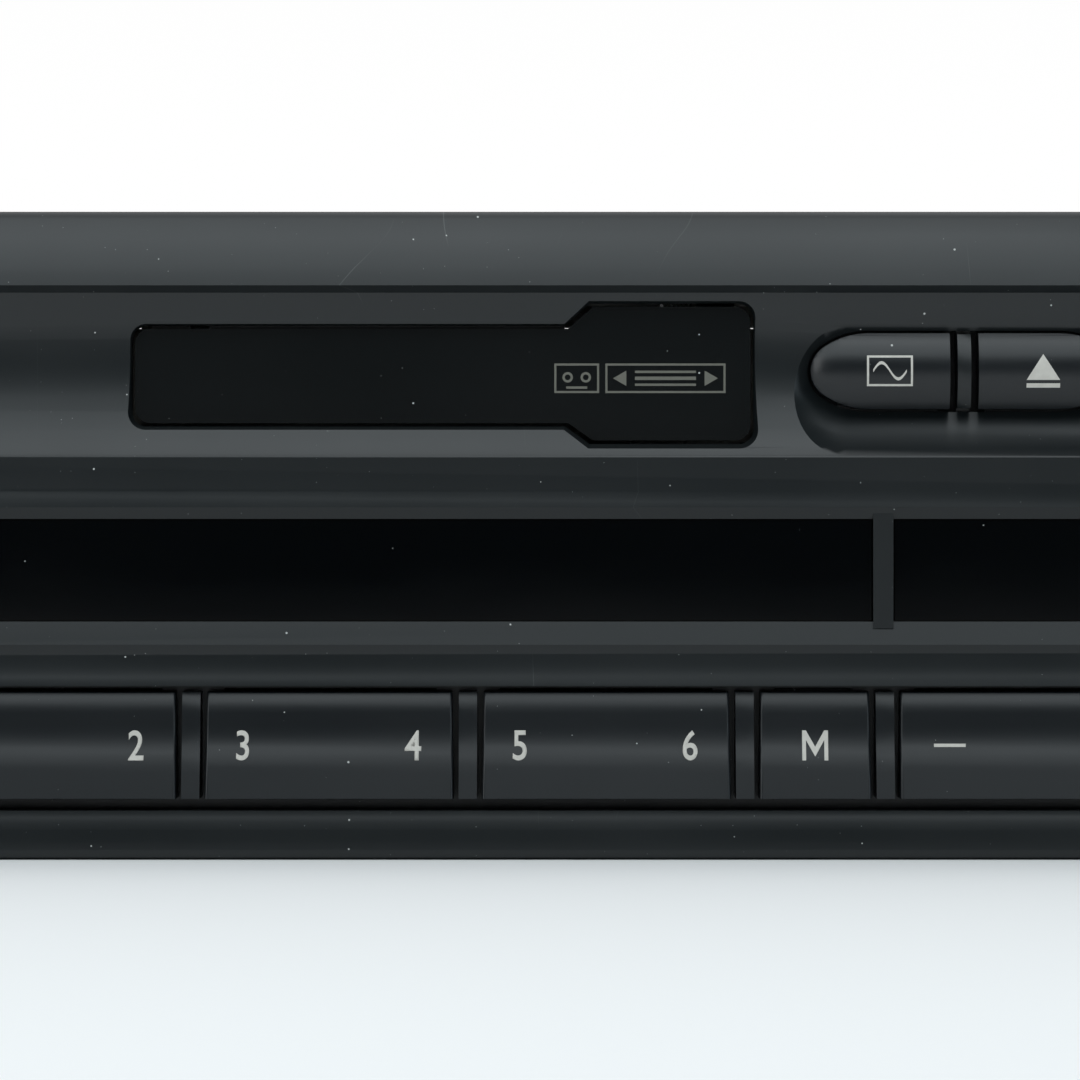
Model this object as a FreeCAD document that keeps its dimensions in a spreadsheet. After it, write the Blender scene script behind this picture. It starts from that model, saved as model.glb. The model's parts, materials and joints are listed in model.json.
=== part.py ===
"""A dashboard radio with a cassette deck, a two-window display and rocker keys, as a parametric document.

X runs across the front panel, Y from the front (-Y) to the back (+Y), and Z up. The origin is the bottom
centre of the whole radio's box. A size "out" is how far something stands in front of the panel's
reference plane, which is at Y = front_plane. All sizes are in millimetres.
"""

import FreeCAD, Part
import Sketcher
import math
import os
import re

V = FreeCAD.Vector

SIZES = {
    # the whole panel
    "panel_width": 240, "panel_height": 67.6, "front_plane": -75, "rim_depth": 12, "panel_wall": 2.2,
    "corner_radius": 4.5, "nose_radius": 18, "nose_out": 9,
    # the front surface from the top down: how far out, and how high
    "crown_back": -2.35, "crown_radius": 1.48, "crown_out": -1.16, "crown_low": 67, "band_radius": 20,
    "band_low_out": 2.3, "band_low": 59.7, "scoop_high_out": 1.5, "scoop_high": 58.95, "scoop_radius": 19.7,
    "scoop_low_out": 4.2, "scoop_low": 41.7, "lip_low": 38.1, "ledge_out": 4.65, "ledge_low": 36.5,
    "sill_low": 22.2, "groove_out": 4.3, "groove_low": 21.3, "shelf_radius": 12, "row_high_out": 5,
    "row_high": 17.9, "row_low_out": 6.2, "row_low": 5, "foot_radius": 12, "foot_out": 6.9, "foot_low": 1,
    "foot_round": 1,
    # the back of the skin, from the top down
    "back_crown_out": -3.4, "back_band_out": -0.2, "back_band_low": 59.6, "back_step_out": -1.2,
    "back_step_low": 58.6, "back_scoop_out": -2.4, "back_scoop_high": 55.5, "back_scoop_low": 47,
    "back_mid_out": 1.2, "back_mid_high": 42, "back_mid_low": 20, "back_row_out": 3, "back_row_high": 16,
    "back_foot_out": 3.4,
    # the cassette slot and its door
    "slot_left": -42.8, "slot_right": 22.4, "slot_step_left": 2.6, "slot_step_right": 5.2,
    "slot_thin_low": 45, "slot_thin_high": 55.6, "slot_thick_low": 43.2, "slot_thick_high": 57.9,
    "slot_round": 1.6, "slot_taper": 9, "slot_straight": 5, "door_gap": 0.35, "door_out": -0.3,
    "door_thick": 1.6, "hinge_out": -3.2, "hinge_z": 59, "hinge_r": 0.8, "hinge_play": 0.05, "lug_r": 1.65,
    "lug_width": 4, "lug_low": 53.5, "lug_foot": 1.3, "lug_front": -2.8, "lug_back": -4.6, "lug_inset": 2,
    "boss_width": 2.2, "boss_gap": 1.2, "boss_low": 57.2, "boss_high": 60.8, "boss_back": -5.2,
    "coil_r": 1.25, "coil_wire_r": 0.18, "coil_turns": 6, "coil_pitch": 0.5,
    "shade_inset": 8, "shade_drop": 0.3, "shade_high": 56.6, "shade_back": -3,
    # the display
    "window_half": 72.2, "window_low": 24.6, "window_high": 35.3, "window_out": 3.95, "window_end": 2,
    "divider_x": 34.7, "divider_width": 2.1, "divider_out": 4.3, "divider_under": 0.7, "lens_gap": 0.15,
    "lens_out": 3.8, "lens_flange": 2, "lens_flange_out": 1, "lens_back": -0.5, "glass_half": 70,
    "glass_low": 23.6, "glass_high": 35.8, "glass_front": -0.8, "glass_back": -3.6, "guide_front": -3.7,
    "guide_back": -8.4,
    # the key row
    "row_start": -63.45, "rocker_width": 25.5, "memory_width": 11.3, "rib_width": 1.9, "key_gap": 0.7,
    "key_low": 6.25, "key_high": 17.3, "key_flare": 0.15, "key_back": 0.9, "key_crown_out": 4.15,
    "key_crown_radius": 6.75, "key_waist_out": 4.92, "key_waist": 14.6, "key_waist_radius": 12.5,
    "key_slope_out": 5.5, "key_slope": 11.6, "key_slope_radius": 20, "key_toe_out": 6.35, "key_toe": 8.9,
    "key_foot_out": 7.05, "key_round": 0.3, "stem_width": 3, "stem_height": 5, "stem_out": -4.2,
    "stem_apart": 17, "push_stem_out": -3.7, "push_play": 0.15, "push_travel": 0.8, "catch_out": -2.4,
    "catch_over": 0.8, "pivot_out": -1, "pivot_r": 0.7, "pivot_play": 0.08, "pivot_over": 1.5,
    "pivot_web": 3, "rib_set_back": 0.15, "frame_half": 67.4, "frame_low": 2.7, "frame_high": 20.5,
    "frame_front": 0.1, "frame_back": -2.2, "frame_window_over": 0.3, "frame_window_in": 1.6,
    "peg_r": 0.7, "peg_x": 65.9, "peg_low": 4.3, "peg_high": 19.2, "peg_out": -3, "peg_play": 0.05,
    # the pods of two keys
    "pod_middle": 44.3, "pod_wing": 92, "pod_z": 50.75, "pod_half_height": 3.95, "pod_front": 3.2,
    "pod_crown": 6.1, "pod_dome": 6, "pod_tip": 3, "pod_key": 14.5, "pod_rib": 1.4, "pod_gap": 0.8,
    "pod_play": 0.3,
    "pod_back": -1.7, "pod_rib_foot": -0.6, "bowl_z": 50.3, "bowl_radius": 9.8,
    "bowl_floor": -0.7, "bowl_longer": 2.3, "pod_flange_front": -2.55, "pod_flange_back": -3.1,
    "pod_flange_over": 1, "pod_guide_front": -4.05, "pod_guide_back": -5.1, "pod_guide_over": 4,
    "pod_stem_width": 4, "pod_stem_height": 4, "pod_stem_play": 0.15,
    # the knobs
    "knob_x": 94.5, "knob_z": 21, "ring_r": 18, "ring_back": 1.2, "ring_out": 7.8, "well_r": 15.3,
    "well_floor": 4.6, "bushing_r": 3.5, "bushing_hole": 3.9, "knob_back": 5.8, "knob_front": 20,
    "knob_r": 14.4, "knob_waist_r": 13.2, "knob_waist": 8.6, "knob_wall": 1.8, "knob_round": 1.2,
    "dish_r": 11.2, "dish_deep": 0.9, "hub_r": 5, "mark_wide": 1.2, "mark_long": 4.5, "mark_deep": 0.4,
    "shaft_r": 3, "shaft_play": 0.04, "shaft_front": 17, "shaft_back": -5, "flutes": 36, "flute_r": 0.6,
    "encoder_side": 12.4, "encoder_front": -2.6, "encoder_bore": -6.3, "encoder_floor": -8.2,
    "bushing_front": 4.2, "plunger_r": 2, "plunger_back": -7, "plunger_play": 0.1,
    # the front circuit board and its switches
    "board_front": -8.6, "board_thick": 1.6, "board_half": 109, "board_low": 4, "board_high": 41,
    "board_top": 62, "board_notch_left": -50, "board_notch_right": 26.5, "switch_side": 6,
    "switch_front": -5.2, "switch_button_r": 1.6, "switch_button_out": -4.6,
    # the steel frame, tray and cover
    "plate_half": 117, "plate_low": 2.4, "plate_high": 65, "plate_thick": 1.2, "plate_window_half": 86,
    "plate_window_low": 5, "plate_window_high": 58, "post_r": 2.5, "post_x": 112.5, "post_low": 8,
    "post_high": 60, "post_pilot_r": 1.2, "post_pilot": 7, "dash_x": 104, "dash_low": 16,
    "dash_high": 52, "dash_r": 2.6, "sheet_thick": 1, "tray_half": 88.5, "tray_low": 2.4, "tray_high": 60,
    "tray_back": 78, "foot_r": 5, "foot_x": 70, "foot_front": -45, "foot_rear": 66, "cover_gap": 0.1,
    "cover_flange": 10, "slot_length": 34, "slot_width": 2.4, "slot_pitch": 6, "slots": 9, "vent_x": 46,
    "vent_y": 0, "cover_screw_y": 48, "cover_screw_z": 54.5, "screw_r": 1.2, "screw_long": 6,
    "head_r": 2.8, "head_high": 1.6, "cross_width": 0.8, "cross_long": 3.4, "cross_deep": 0.9,
    "screw_play": 0.3,
    # the back wall
    "sink_left": 34, "sink_right": 84, "sink_low": 7, "sink_high": 55, "sink_base": 3, "fin_deep": 9,
    "fin_thick": 1.6, "fins": 10, "plug_left": -60, "plug_right": -14, "plug_low": 12, "plug_high": 37,
    "plug_front": 73, "plug_back": 87, "plug_wall": 1.6, "plug_floor": 3, "pin_wide": 1.6, "pin_long": 4,
    "plug_pins": 8, "plug_rows": 2, "aerial_x": -75, "aerial_z": 46, "aerial_r": 6.4, "aerial_bore": 4.8,
    "aerial_back": 91, "aerial_floor": 2, "aerial_flange_r": 8.5, "aerial_flange": 1.2, "aerial_pin_r": 0.8,
    "aerial_pin": 5, "stud_x": 6, "stud_z": 46, "stud_r": 2.5, "stud_neck_r": 2.9, "stud_back": 95,
    "stud_head_r": 5.5,
    "stud_head": 3, "fuse_x": 12, "fuse_z": 22, "fuse_wide": 12, "fuse_high": 5, "fuse_back": 84,
    "fuse_front": 74,
    # the main circuit board
    "main_half": 84, "main_front": -57, "main_back": 72, "main_low": 8, "standoff_r": 2.6,
    "standoff_x": 78, "standoff_front": -50, "standoff_back": 62, "can_left": -82, "can_wide": 33,
    "can_front": 24, "can_deep": 34, "can_high": 13, "can_wall": 0.5, "caps": 5, "cap_r": 5,
    "cap_high": 12, "cap_x": 30, "cap_y": 58, "cap_pitch": 12, "amp_x": 59, "amp_wide": 26,
    "amp_thick": 4.5, "amp_low": 10, "amp_high": 17, "flex_x": -50, "flex_wide": 26, "flex_thick": 0.4,
    "flex_high": 16, "flex_end": -52,
    # the cassette deck
    "deck_left": -50, "deck_right": 56, "deck_front": -54, "deck_back": 62, "deck_low": 31.6,
    "deck_thick": 1.2, "deck_post_r": 3, "deck_post_inset": 5, "deck_post_play": 0.5,
    "carriage_left": -43.1, "carriage_right": 22.7, "carriage_front": -52, "carriage_back": 50.5,
    "carriage_low": 44.6, "carriage_high": 57.6, "carriage_sheet": 0.8, "carriage_lip": 5,
    "notch_front": -40, "notch_back": 36, "capstan_x": 16.5, "tape_y": -1.8, "capstan_apart": 47.6,
    "capstan_r": 1, "capstan_top": 43.8, "sleeve_r": 3, "sleeve_low": 33.9, "sleeve_high": 35.9,
    "wheel_r": 17, "wheel_low": 24.5, "wheel_thick": 4.6, "wheel_hub_r": 4, "wheel_web": 2,
    "wheel_rim": 3.5, "bearing_r": 2.6, "bearing_low": 30, "bearing_high": 33.6, "bearing_play": 0.05,
    "idler_x": 6.8, "idler_apart": 45.8, "idler_r": 6.6, "idler_low": 33.8, "idler_high": 35.8,
    "axle_r": 1.2, "reel_x": -10, "reel_apart": 42.5, "reel_r": 4.3, "reel_tip": 43.5,
    "reel_base_r": 10, "reel_base": 2.4, "reel_spline": 1.2, "reel_lift": 0.4, "motor_x": 41,
    "motor_y": 47, "motor_r": 12, "motor_high": 12, "motor_shaft_r": 1, "pulley_r": 4, "pulley_high": 5.2,
    "belt_gap": 0.3, "belt_thick": 1, "belt_high": 2, "belt_low": 25.8, "slide_left": 27.5,
    "slide_right": 38, "slide_front": -36, "slide_back": 33, "slide_thick": 1.5, "slide_lift": 0.2,
    "tape_head_wide": 10, "tape_head_deep": 12, "tape_head_high": 9, "tape_head_left": 24.5,
    "tape_head_low": 36.5,
    "roller_r": 4.5, "roller_apart": 51, "roller_low": 36, "roller_high": 8, "roller_x": 26.9,
    "roller_pin_r": 1, "roller_play": 0.06, "roller_arm": 4,
}

doc = FreeCAD.newDocument("car_radio")
sheet = doc.addObject("Spreadsheet::Sheet", "dims")
PARTS = {}

PLANES = {"front": "XZ_Plane", "side": "YZ_Plane", "top": "XY_Plane"}
# The way along each plane's normal, as a sign: the front plane's normal points to the viewer, which is -Y.
NORMALS = {"front": -1, "side": 1, "top": 1}


# ---------------------------------------------------------------- the sheet and what reads it

def fill_sheet():
    """Writes each size to a cell of its own, under its name."""
    for row, (alias, number) in enumerate(SIZES.items(), start=1):
        sheet.set(f"A{row}", alias)
        sheet.set(f"B{row}", str(number))
        sheet.setAlias(f"B{row}", alias)
    doc.recompute()


def full(text):
    """The expression with the names of the sheet's cells written in full."""
    return re.sub(r"[a-z_]+\d*", lambda m: f"dims.{m[0]}" if m[0] in SIZES else m[0], str(text))


def number(text):
    """What an expression over the sheet's cells comes to now."""
    return float(sheet.evalExpression(full(text).replace("dims.", "")))


def out(size):
    """The Y of something that stands a given size out from the panel's reference plane."""
    return f"(front_plane - ({size}))"


def bind(thing, **sizes):
    for name, text in sizes.items():
        thing.setExpression(name, full(text))
    return thing


def place(thing, x=0, y=0, z=0):
    for axis, text in zip("xyz", (x, y, z)):
        thing.setExpression(f"Placement.Base.{axis}", full(text))
    return thing


def named(label, thing):
    """Makes an object of the document one of the radio's sub-parts."""
    thing.Label = label
    PARTS[label] = thing
    return thing


# ---------------------------------------------------------------- primitives and booleans

def box(name, x, y, z):
    """A box from three (low, high) pairs."""
    made = doc.addObject("Part::Box", name)
    bind(made, Length=f"{x[1]} - ({x[0]})", Width=f"{y[1]} - ({y[0]})", Height=f"{z[1]} - ({z[0]})")
    return place(made, x[0], y[0], z[0])


AXES = {"x": V(0, 1, 0), "y": V(-1, 0, 0), "z": V(0, 0, 1)}


def turn_to(thing, axis):
    """Turns a primitive that stands along Z so that it lies along another axis."""
    thing.Placement = FreeCAD.Placement(V(), FreeCAD.Rotation(AXES[axis], 0 if axis == "z" else 90))
    return thing


def rod(name, axis, radius, low, high, at):
    """A cylinder along an axis, from low to high, through the other two coordinates in at."""
    made = turn_to(doc.addObject("Part::Cylinder", name), axis)
    bind(made, Radius=radius, Height=f"({high}) - ({low})")
    spot = list(at)
    spot.insert("xyz".index(axis), low)
    return place(made, *spot)


def cut(name, base, *tools):
    made = doc.addObject("Part::Cut", name)
    made.Base = base
    made.Tool = tools[0] if len(tools) == 1 else fuse(name + "_tools", *tools)
    return made


def fuse(name, *shapes):
    made = doc.addObject("Part::MultiFuse", name)
    made.Shapes = list(shapes)
    return made


def common(name, *shapes):
    made = doc.addObject("Part::MultiCommon", name)
    made.Shapes = list(shapes)
    return made


def group(name, *shapes):
    """Separate solids of one node."""
    made = doc.addObject("Part::Compound", name)
    made.Links = list(shapes)
    return made


def rounded(name, base, radius, wanted):
    """Rounds the edges that the test wanted picks."""
    doc.recompute()
    made = doc.addObject("Part::Fillet", name)
    made.Base = base
    size = number(radius)
    made.Edges = [(i, size, size) for i, e in enumerate(base.Shape.Edges, start=1) if wanted(e)]
    return made


def ends(edge):
    return [v.Point for v in edge.Vertexes]


# ---------------------------------------------------------------- sketches and bodies

def draw(body, plane, outlines, offset="0"):
    """A sketch on one of the body's own planes.

    An outline is ("circle", across, up, radius), or a list of corners (across, up) or (across, up, radius).
    A radius makes the edge that leaves the corner an arc: positive turns left, negative turns right.
    """
    sketch = body.newObject("Sketcher::SketchObject", body.Name + "_sketch")
    sketch.AttachmentSupport = [(next(f for f in body.Origin.OriginFeatures if f.Role == PLANES[plane]), "")]
    sketch.MapMode = "FlatFace"
    sketch.setExpression("AttachmentOffset.Base.z", full(f"{NORMALS[plane]} * ({offset})"))
    for outline in outlines:
        if outline[0] == "circle":
            draw_circle(sketch, *outline[1:])
        else:
            draw_corners(sketch, outline)
    return sketch


def tie(sketch, kind, where, text):
    """A constraint whose size is an expression."""
    index = sketch.addConstraint(Sketcher.Constraint(kind, *where, number(text)))
    sketch.renameConstraint(index, f"size_{index}")
    sketch.setExpression(f"Constraints.size_{index}", full(text))


def tie_point(sketch, edge, end, across, up):
    tie(sketch, "DistanceX", (-1, 1, edge, end), across)
    tie(sketch, "DistanceY", (-1, 1, edge, end), up)


def draw_circle(sketch, across, up, radius):
    centre = V(number(across), number(up), 0)
    edge = sketch.addGeometry(Part.Circle(centre, V(0, 0, 1), number(radius)))
    tie_point(sketch, edge, 3, across, up)
    tie(sketch, "Radius", (edge,), radius)


def draw_corners(sketch, corners):
    points = [V(number(c[0]), number(c[1]), 0) for c in corners]
    following = points[1:] + points[:1]
    edges = []
    for corner, here, there in zip(corners, points, following):
        radius = number(corner[2]) if len(corner) > 2 else 0
        if radius:
            chord = there - here
            side = V(-chord.y, chord.x, 0).normalize() * math.copysign(1, radius)
            rise = math.sqrt(max(0, radius ** 2 - (chord.Length / 2) ** 2))
            middle = here + chord / 2 + side * (rise - abs(radius))
            edge = sketch.addGeometry(Part.Arc(here, middle, there))
            tie(sketch, "Radius", (edge,), f"abs({corner[2]})")
        else:
            edge = sketch.addGeometry(Part.LineSegment(here, there))
        # an arc always runs anticlockwise, so one that turns right starts at its far end
        edges.append((edge, 2, 1) if radius < 0 else (edge, 1, 2))
    for (edge, start, _), (before, _, finish), corner in zip(edges, edges[-1:] + edges[:-1], corners):
        sketch.addConstraint(Sketcher.Constraint("Coincident", before, finish, edge, start))
        tie_point(sketch, edge, start, corner[0], corner[1])


def new_body(name):
    return doc.addObject("PartDesign::Body", name)


def pad(body, plane, outlines, low, high):
    """Adds a pad to the body, from low to high along the plane's own axis."""
    far = high if NORMALS[plane] > 0 else low
    near = low if NORMALS[plane] > 0 else high
    made = body.newObject("PartDesign::Pad", body.Name + "_pad")
    made.Profile = draw(body, plane, outlines, near)
    made.setExpression("Length", full(f"abs(({far}) - ({near}))"))
    return made


def pocket(body, plane, outlines, low, high):
    """Cuts a pocket out of the body, from high down to low along the plane's own axis."""
    doc.recompute()
    before = body.Shape.Volume
    near = high if NORMALS[plane] > 0 else low
    far = low if NORMALS[plane] > 0 else high
    made = body.newObject("PartDesign::Pocket", body.Name + "_pocket")
    made.Profile = draw(body, plane, outlines, near)
    made.setExpression("Length", full(f"abs(({far}) - ({near}))"))
    doc.recompute()
    if body.Shape.Volume > before - 1e-6:
        raise RuntimeError(f"a pocket of {body.Name} cuts nothing")
    return made


def prism(name, plane, outlines, low, high):
    """A body with a single pad."""
    body = new_body(name)
    pad(body, plane, outlines, low, high)
    return body


def turned(name, corners, at):
    """A body turned about an axis along Y, from corners (radius, out)."""
    body = new_body(name)
    spin = body.newObject("PartDesign::Revolution", name + "_turn")
    spin.Profile = draw(body, "side", [[(out(c[1]), c[0], *c[2:]) for c in corners]])
    spin.ReferenceAxis = (next(f for f in body.Origin.OriginFeatures if f.Role == "Y_Axis"), [""])
    spin.Angle = 360
    return place(body, at[0], 0, at[1])


def rectangle(left, right, low, high):
    return [(left, low), (right, low), (right, high), (left, high)]


def soft_rectangle(left, right, low, high, radius):
    """A rectangle with round corners."""
    return [
        (f"{left} + {radius}", low), (f"{right} - {radius}", low, radius),
        (right, f"{low} + {radius}"), (right, f"{high} - {radius}", radius),
        (f"{right} - {radius}", high), (f"{left} + {radius}", high, radius),
        (left, f"{high} - {radius}"), (left, f"{low} + {radius}", radius),
    ]


def capsule(name, radius, low, high, y, z):
    """A rod along X with a ball at each end, turned in one piece."""
    body = new_body(name)
    spin = body.newObject("PartDesign::Revolution", name + "_turn")
    long = f"({high} - ({low}))"
    spin.Profile = draw(body, "front", [[
        (f"-{radius}", 0), (f"{long} + {radius}", 0, radius), (long, radius), (0, radius, radius)]])
    spin.ReferenceAxis = (next(f for f in body.Origin.OriginFeatures if f.Role == "X_Axis"), [""])
    spin.Angle = 360
    return place(body, low, y, z)


def tapering_end(half, dome, tip):
    """The two arcs of a pill's end: the long arc's radius, and how far along and up the arcs meet."""
    long_radius = f"(({dome}) ^ 2 - 2 * ({dome}) * ({tip}) + ({half}) ^ 2) / (2 * (({half}) - ({tip})))"
    spread = f"({long_radius} - ({tip}))"
    along = f"(({dome}) - ({tip}) + ({tip}) * (({dome}) - ({tip})) / {spread})"
    up = f"(({tip}) * ({long_radius} - ({half})) / {spread})"
    return long_radius, along, up


# ---------------------------------------------------------------- where things repeat

FRONT, BACK = out("-rim_depth"), "tray_back"
KEY_PITCH = "(rocker_width + 2 * key_gap + rib_width)"
MEMORY_LEFT = f"(row_start + 3 * {KEY_PITCH})"
SEEK_LEFT = f"({MEMORY_LEFT} + memory_width + 2 * key_gap + rib_width)"
ROCKERS = {
    "preset_rocker_1_2": "row_start",
    "preset_rocker_3_4": f"(row_start + {KEY_PITCH})",
    "preset_rocker_5_6": f"(row_start + 2 * {KEY_PITCH})",
    "seek_rocker": SEEK_LEFT,
}
ROW_RIGHT = f"({SEEK_LEFT} + rocker_width)"
PIN_LEFT = "(slot_left - boss_gap - boss_width)"
PIN_RIGHT = "(slot_right + boss_gap + boss_width)"

# each pod: its middle, and its left and right keys
PODS = {
    "left_pod": ("-pod_wing", "fm_key", "am_key"),
    "middle_pod": ("pod_middle", "noise_filter_key", "eject_key"),
    "right_pod": ("pod_wing", "clock_key", "menu_key"),
}
POD_HALF = "(pod_rib / 2 + pod_gap + pod_key)"
POD_STEM = "(pod_rib / 2 + pod_gap + pod_key / 2 - 1)"
KNOBS = {"volume": "-knob_x", "tune": "knob_x"}
CAPSTANS = {"front": "(tape_y - capstan_apart / 2)", "rear": "(tape_y + capstan_apart / 2)"}
REELS = {"front": "(tape_y - reel_apart / 2)", "rear": "(tape_y + reel_apart / 2)"}
IDLERS = {"front": "(tape_y - idler_apart / 2)", "rear": "(tape_y + idler_apart / 2)"}
ROLLERS = {"front": "(tape_y - roller_apart / 2)", "rear": "(tape_y + roller_apart / 2)"}
POSTS = [(f"{side}post_x", height) for side in ("-", "") for height in ("post_low", "post_high")]
DECK_TOP = "(deck_low + deck_thick)"
DECK_POSTS = [
    (x, y)
    for x in ("(deck_left + deck_post_inset)", "(deck_right - deck_post_inset)")
    for y in ("(deck_front + deck_post_inset)", "(deck_back - deck_post_inset)")
]


# ---------------------------------------------------------------- the front panel

def front_section():
    """The panel's outer section, from its top back edge round the front to its bottom back edge."""
    return [
        (FRONT, "panel_height"), (out("crown_back"), "panel_height", "crown_radius"),
        (out("crown_out"), "crown_low", "band_radius"), (out("band_low_out"), "band_low"),
        (out("scoop_high_out"), "scoop_high", "-scoop_radius"), (out("scoop_low_out"), "scoop_low"),
        (out("scoop_low_out"), "lip_low"), (out("ledge_out"), "ledge_low"), (out("ledge_out"), "sill_low"),
        (out("groove_out"), "groove_low", "-shelf_radius"), (out("row_high_out"), "row_high"),
        (out("row_low_out"), "row_low", "foot_radius"), (out("foot_out"), "foot_low", "foot_round"),
        (out("foot_out - foot_round"), 0), (FRONT, 0),
    ]


def back_section():
    """The section of the space behind the panel's skin."""
    behind, top = out("-rim_depth - 1"), "(panel_height - panel_wall)"
    return [
        (behind, top), (out("back_crown_out"), top), (out("back_band_out"), "back_band_low"),
        (out("back_step_out"), "back_step_low"), (out("back_scoop_out"), "back_scoop_high"),
        (out("back_scoop_out"), "back_scoop_low"), (out("back_mid_out"), "back_mid_high"),
        (out("back_mid_out"), "back_mid_low"), (out("back_row_out"), "back_row_high"),
        (out("back_foot_out"), "panel_wall"), (behind, "panel_wall"),
    ]


def panel_plan(inset):
    """The panel's plan with its round ends, drawn in from the outside by inset."""
    half, radius, front = f"(panel_width / 2 - {inset})", f"(nose_radius - {inset})", f"nose_out - {inset}"
    behind = out("-rim_depth - 2")
    return [
        (f"-{half}", behind), (f"-{half}", out(f"{front} - {radius}"), radius),
        (f"{radius} - {half}", out(front)), (f"{half} - {radius}", out(front), radius),
        (half, out(f"{front} - {radius}")), (half, behind),
    ]


def panel_bulk(name, section, inset):
    """The section drawn across the panel's width, with the ends and the corners rounded."""
    half, ahead, behind = f"(panel_width / 2 - {inset})", out("nose_out + 1"), out("-rim_depth - 2")
    face = soft_rectangle(f"-{half}", half, inset, f"(panel_height - {inset})", f"(corner_radius - {inset})")
    return common(
        name,
        prism(name + "_section", "side", [section], f"-{half}", half),
        prism(name + "_plan", "top", [panel_plan(inset)], -1, "panel_height + 1"),
        prism(name + "_face", "front", [face], ahead, behind),
    )


def slot_outline(gap):
    """The cassette slot: thick where the cassette's tape edge goes, drawn in from its edges by gap."""
    left, right, corner = f"(slot_left + {gap})", f"(slot_right - {gap})", "slot_round"
    thin_low, thin_high = f"(slot_thin_low + {gap})", f"(slot_thin_high - {gap})"
    thick_low, thick_high = f"(slot_thick_low + {gap})", f"(slot_thick_high - {gap})"
    return [
        (f"{left} + {corner}", thin_low), (f"slot_step_left + {gap}", thin_low),
        (f"slot_step_right + {gap}", thick_low), (f"{right} - {corner}", thick_low, corner),
        (right, f"{thick_low} + {corner}"), (right, f"{thick_high} - {corner}", corner),
        (f"{right} - {corner}", thick_high), (f"slot_step_right + {gap}", thick_high),
        (f"slot_step_left + {gap}", thin_high), (f"{left} + {corner}", thin_high, corner),
        (left, f"{thin_high} - {corner}"), (left, f"{thin_low} + {corner}", corner),
    ]


def slot_tool():
    """What the slot takes out of the panel: straight at the back, and flared in front of the door."""
    straight = prism("slot_straight_part", "front", [slot_outline(0)], out(0), out("-slot_straight"))
    flared = prism("slot_flared_part", "front", [slot_outline(0)], out("nose_out"), out(0))
    flared.Tip.setExpression("TaperAngle", full("slot_taper"))
    return [straight, flared]


def window_tool():
    """The display's opening, with its four sloping sides."""
    hole = box(
        "window_hole", ("-window_half", "window_half"), (out("ledge_out"), out("-slot_straight")),
        ("window_low", "window_high"))
    sides = doc.addObject("Part::Wedge", "window_sides")
    bind(
        sides, Xmin="-window_half - window_end", Xmax="window_half + window_end",
        Zmin="sill_low", Zmax="ledge_low", Ymin=out("ledge_out"), Ymax=out("window_out"),
        X2min="-window_half", X2max="window_half", Z2min="window_low", Z2max="window_high")
    return [hole, sides]


def pill_outline(left, right, grow):
    """A pod's outline, from the start of one tapering end to the start of the other, grown by a gap."""
    half, tip = f"(pod_half_height + {grow})", f"(pod_tip + {grow})"
    radius, along, up = tapering_end(half, f"(pod_dome + {grow})", tip)
    return [
        (left, f"pod_z - {half}"), (right, f"pod_z - {half}", radius),
        (f"{right} + {along}", f"pod_z - {up}", tip), (f"{right} + {along}", f"pod_z + {up}", radius),
        (right, f"pod_z + {half}"), (left, f"pod_z + {half}", radius),
        (f"{left} - {along}", f"pod_z + {up}", tip), (f"{left} - {along}", f"pod_z - {up}", radius),
    ]


def pod_tools(name, middle):
    """The soft bowl around a pod and the opening that its keys stand in."""
    reach = f"({POD_HALF} - pod_dome)"
    bowl = capsule(
        name + "_bowl", "bowl_radius", f"({middle} - {reach} - bowl_longer)",
        f"({middle} + {reach} + bowl_longer)",
        out("bowl_floor + bowl_radius"), "bowl_z")
    outline = pill_outline(f"({middle} - {reach})", f"({middle} + {reach})", "pod_play")
    return [bowl, prism(name + "_opening", "front", [outline], out("nose_out"), out("-slot_straight"))]


def pod_rib(name, middle):
    """The panel's own rib between a pod's two keys."""
    crown, foot = "(pod_half_height - 0.1)", "(pod_half_height + 0.6)"
    edge = out(f"pod_front - rib_set_back - pod_crown + sqrt(pod_crown ^ 2 - {crown} ^ 2)")
    outline = [
        (edge, f"pod_z + {crown}", "pod_crown"), (edge, f"pod_z - {crown}"),
        (out("pod_rib_foot"), f"pod_z - {crown}"), (out("pod_rib_foot"), f"pod_z - {foot}"),
        (out("back_scoop_out"), f"pod_z - {foot}"), (out("back_scoop_out"), f"pod_z + {foot}"),
        (out("pod_rib_foot"), f"pod_z + {foot}"), (out("pod_rib_foot"), f"pod_z + {crown}"),
    ]
    return prism(name, "side", [outline], f"{middle} - pod_rib / 2", f"{middle} + pod_rib / 2")


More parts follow.
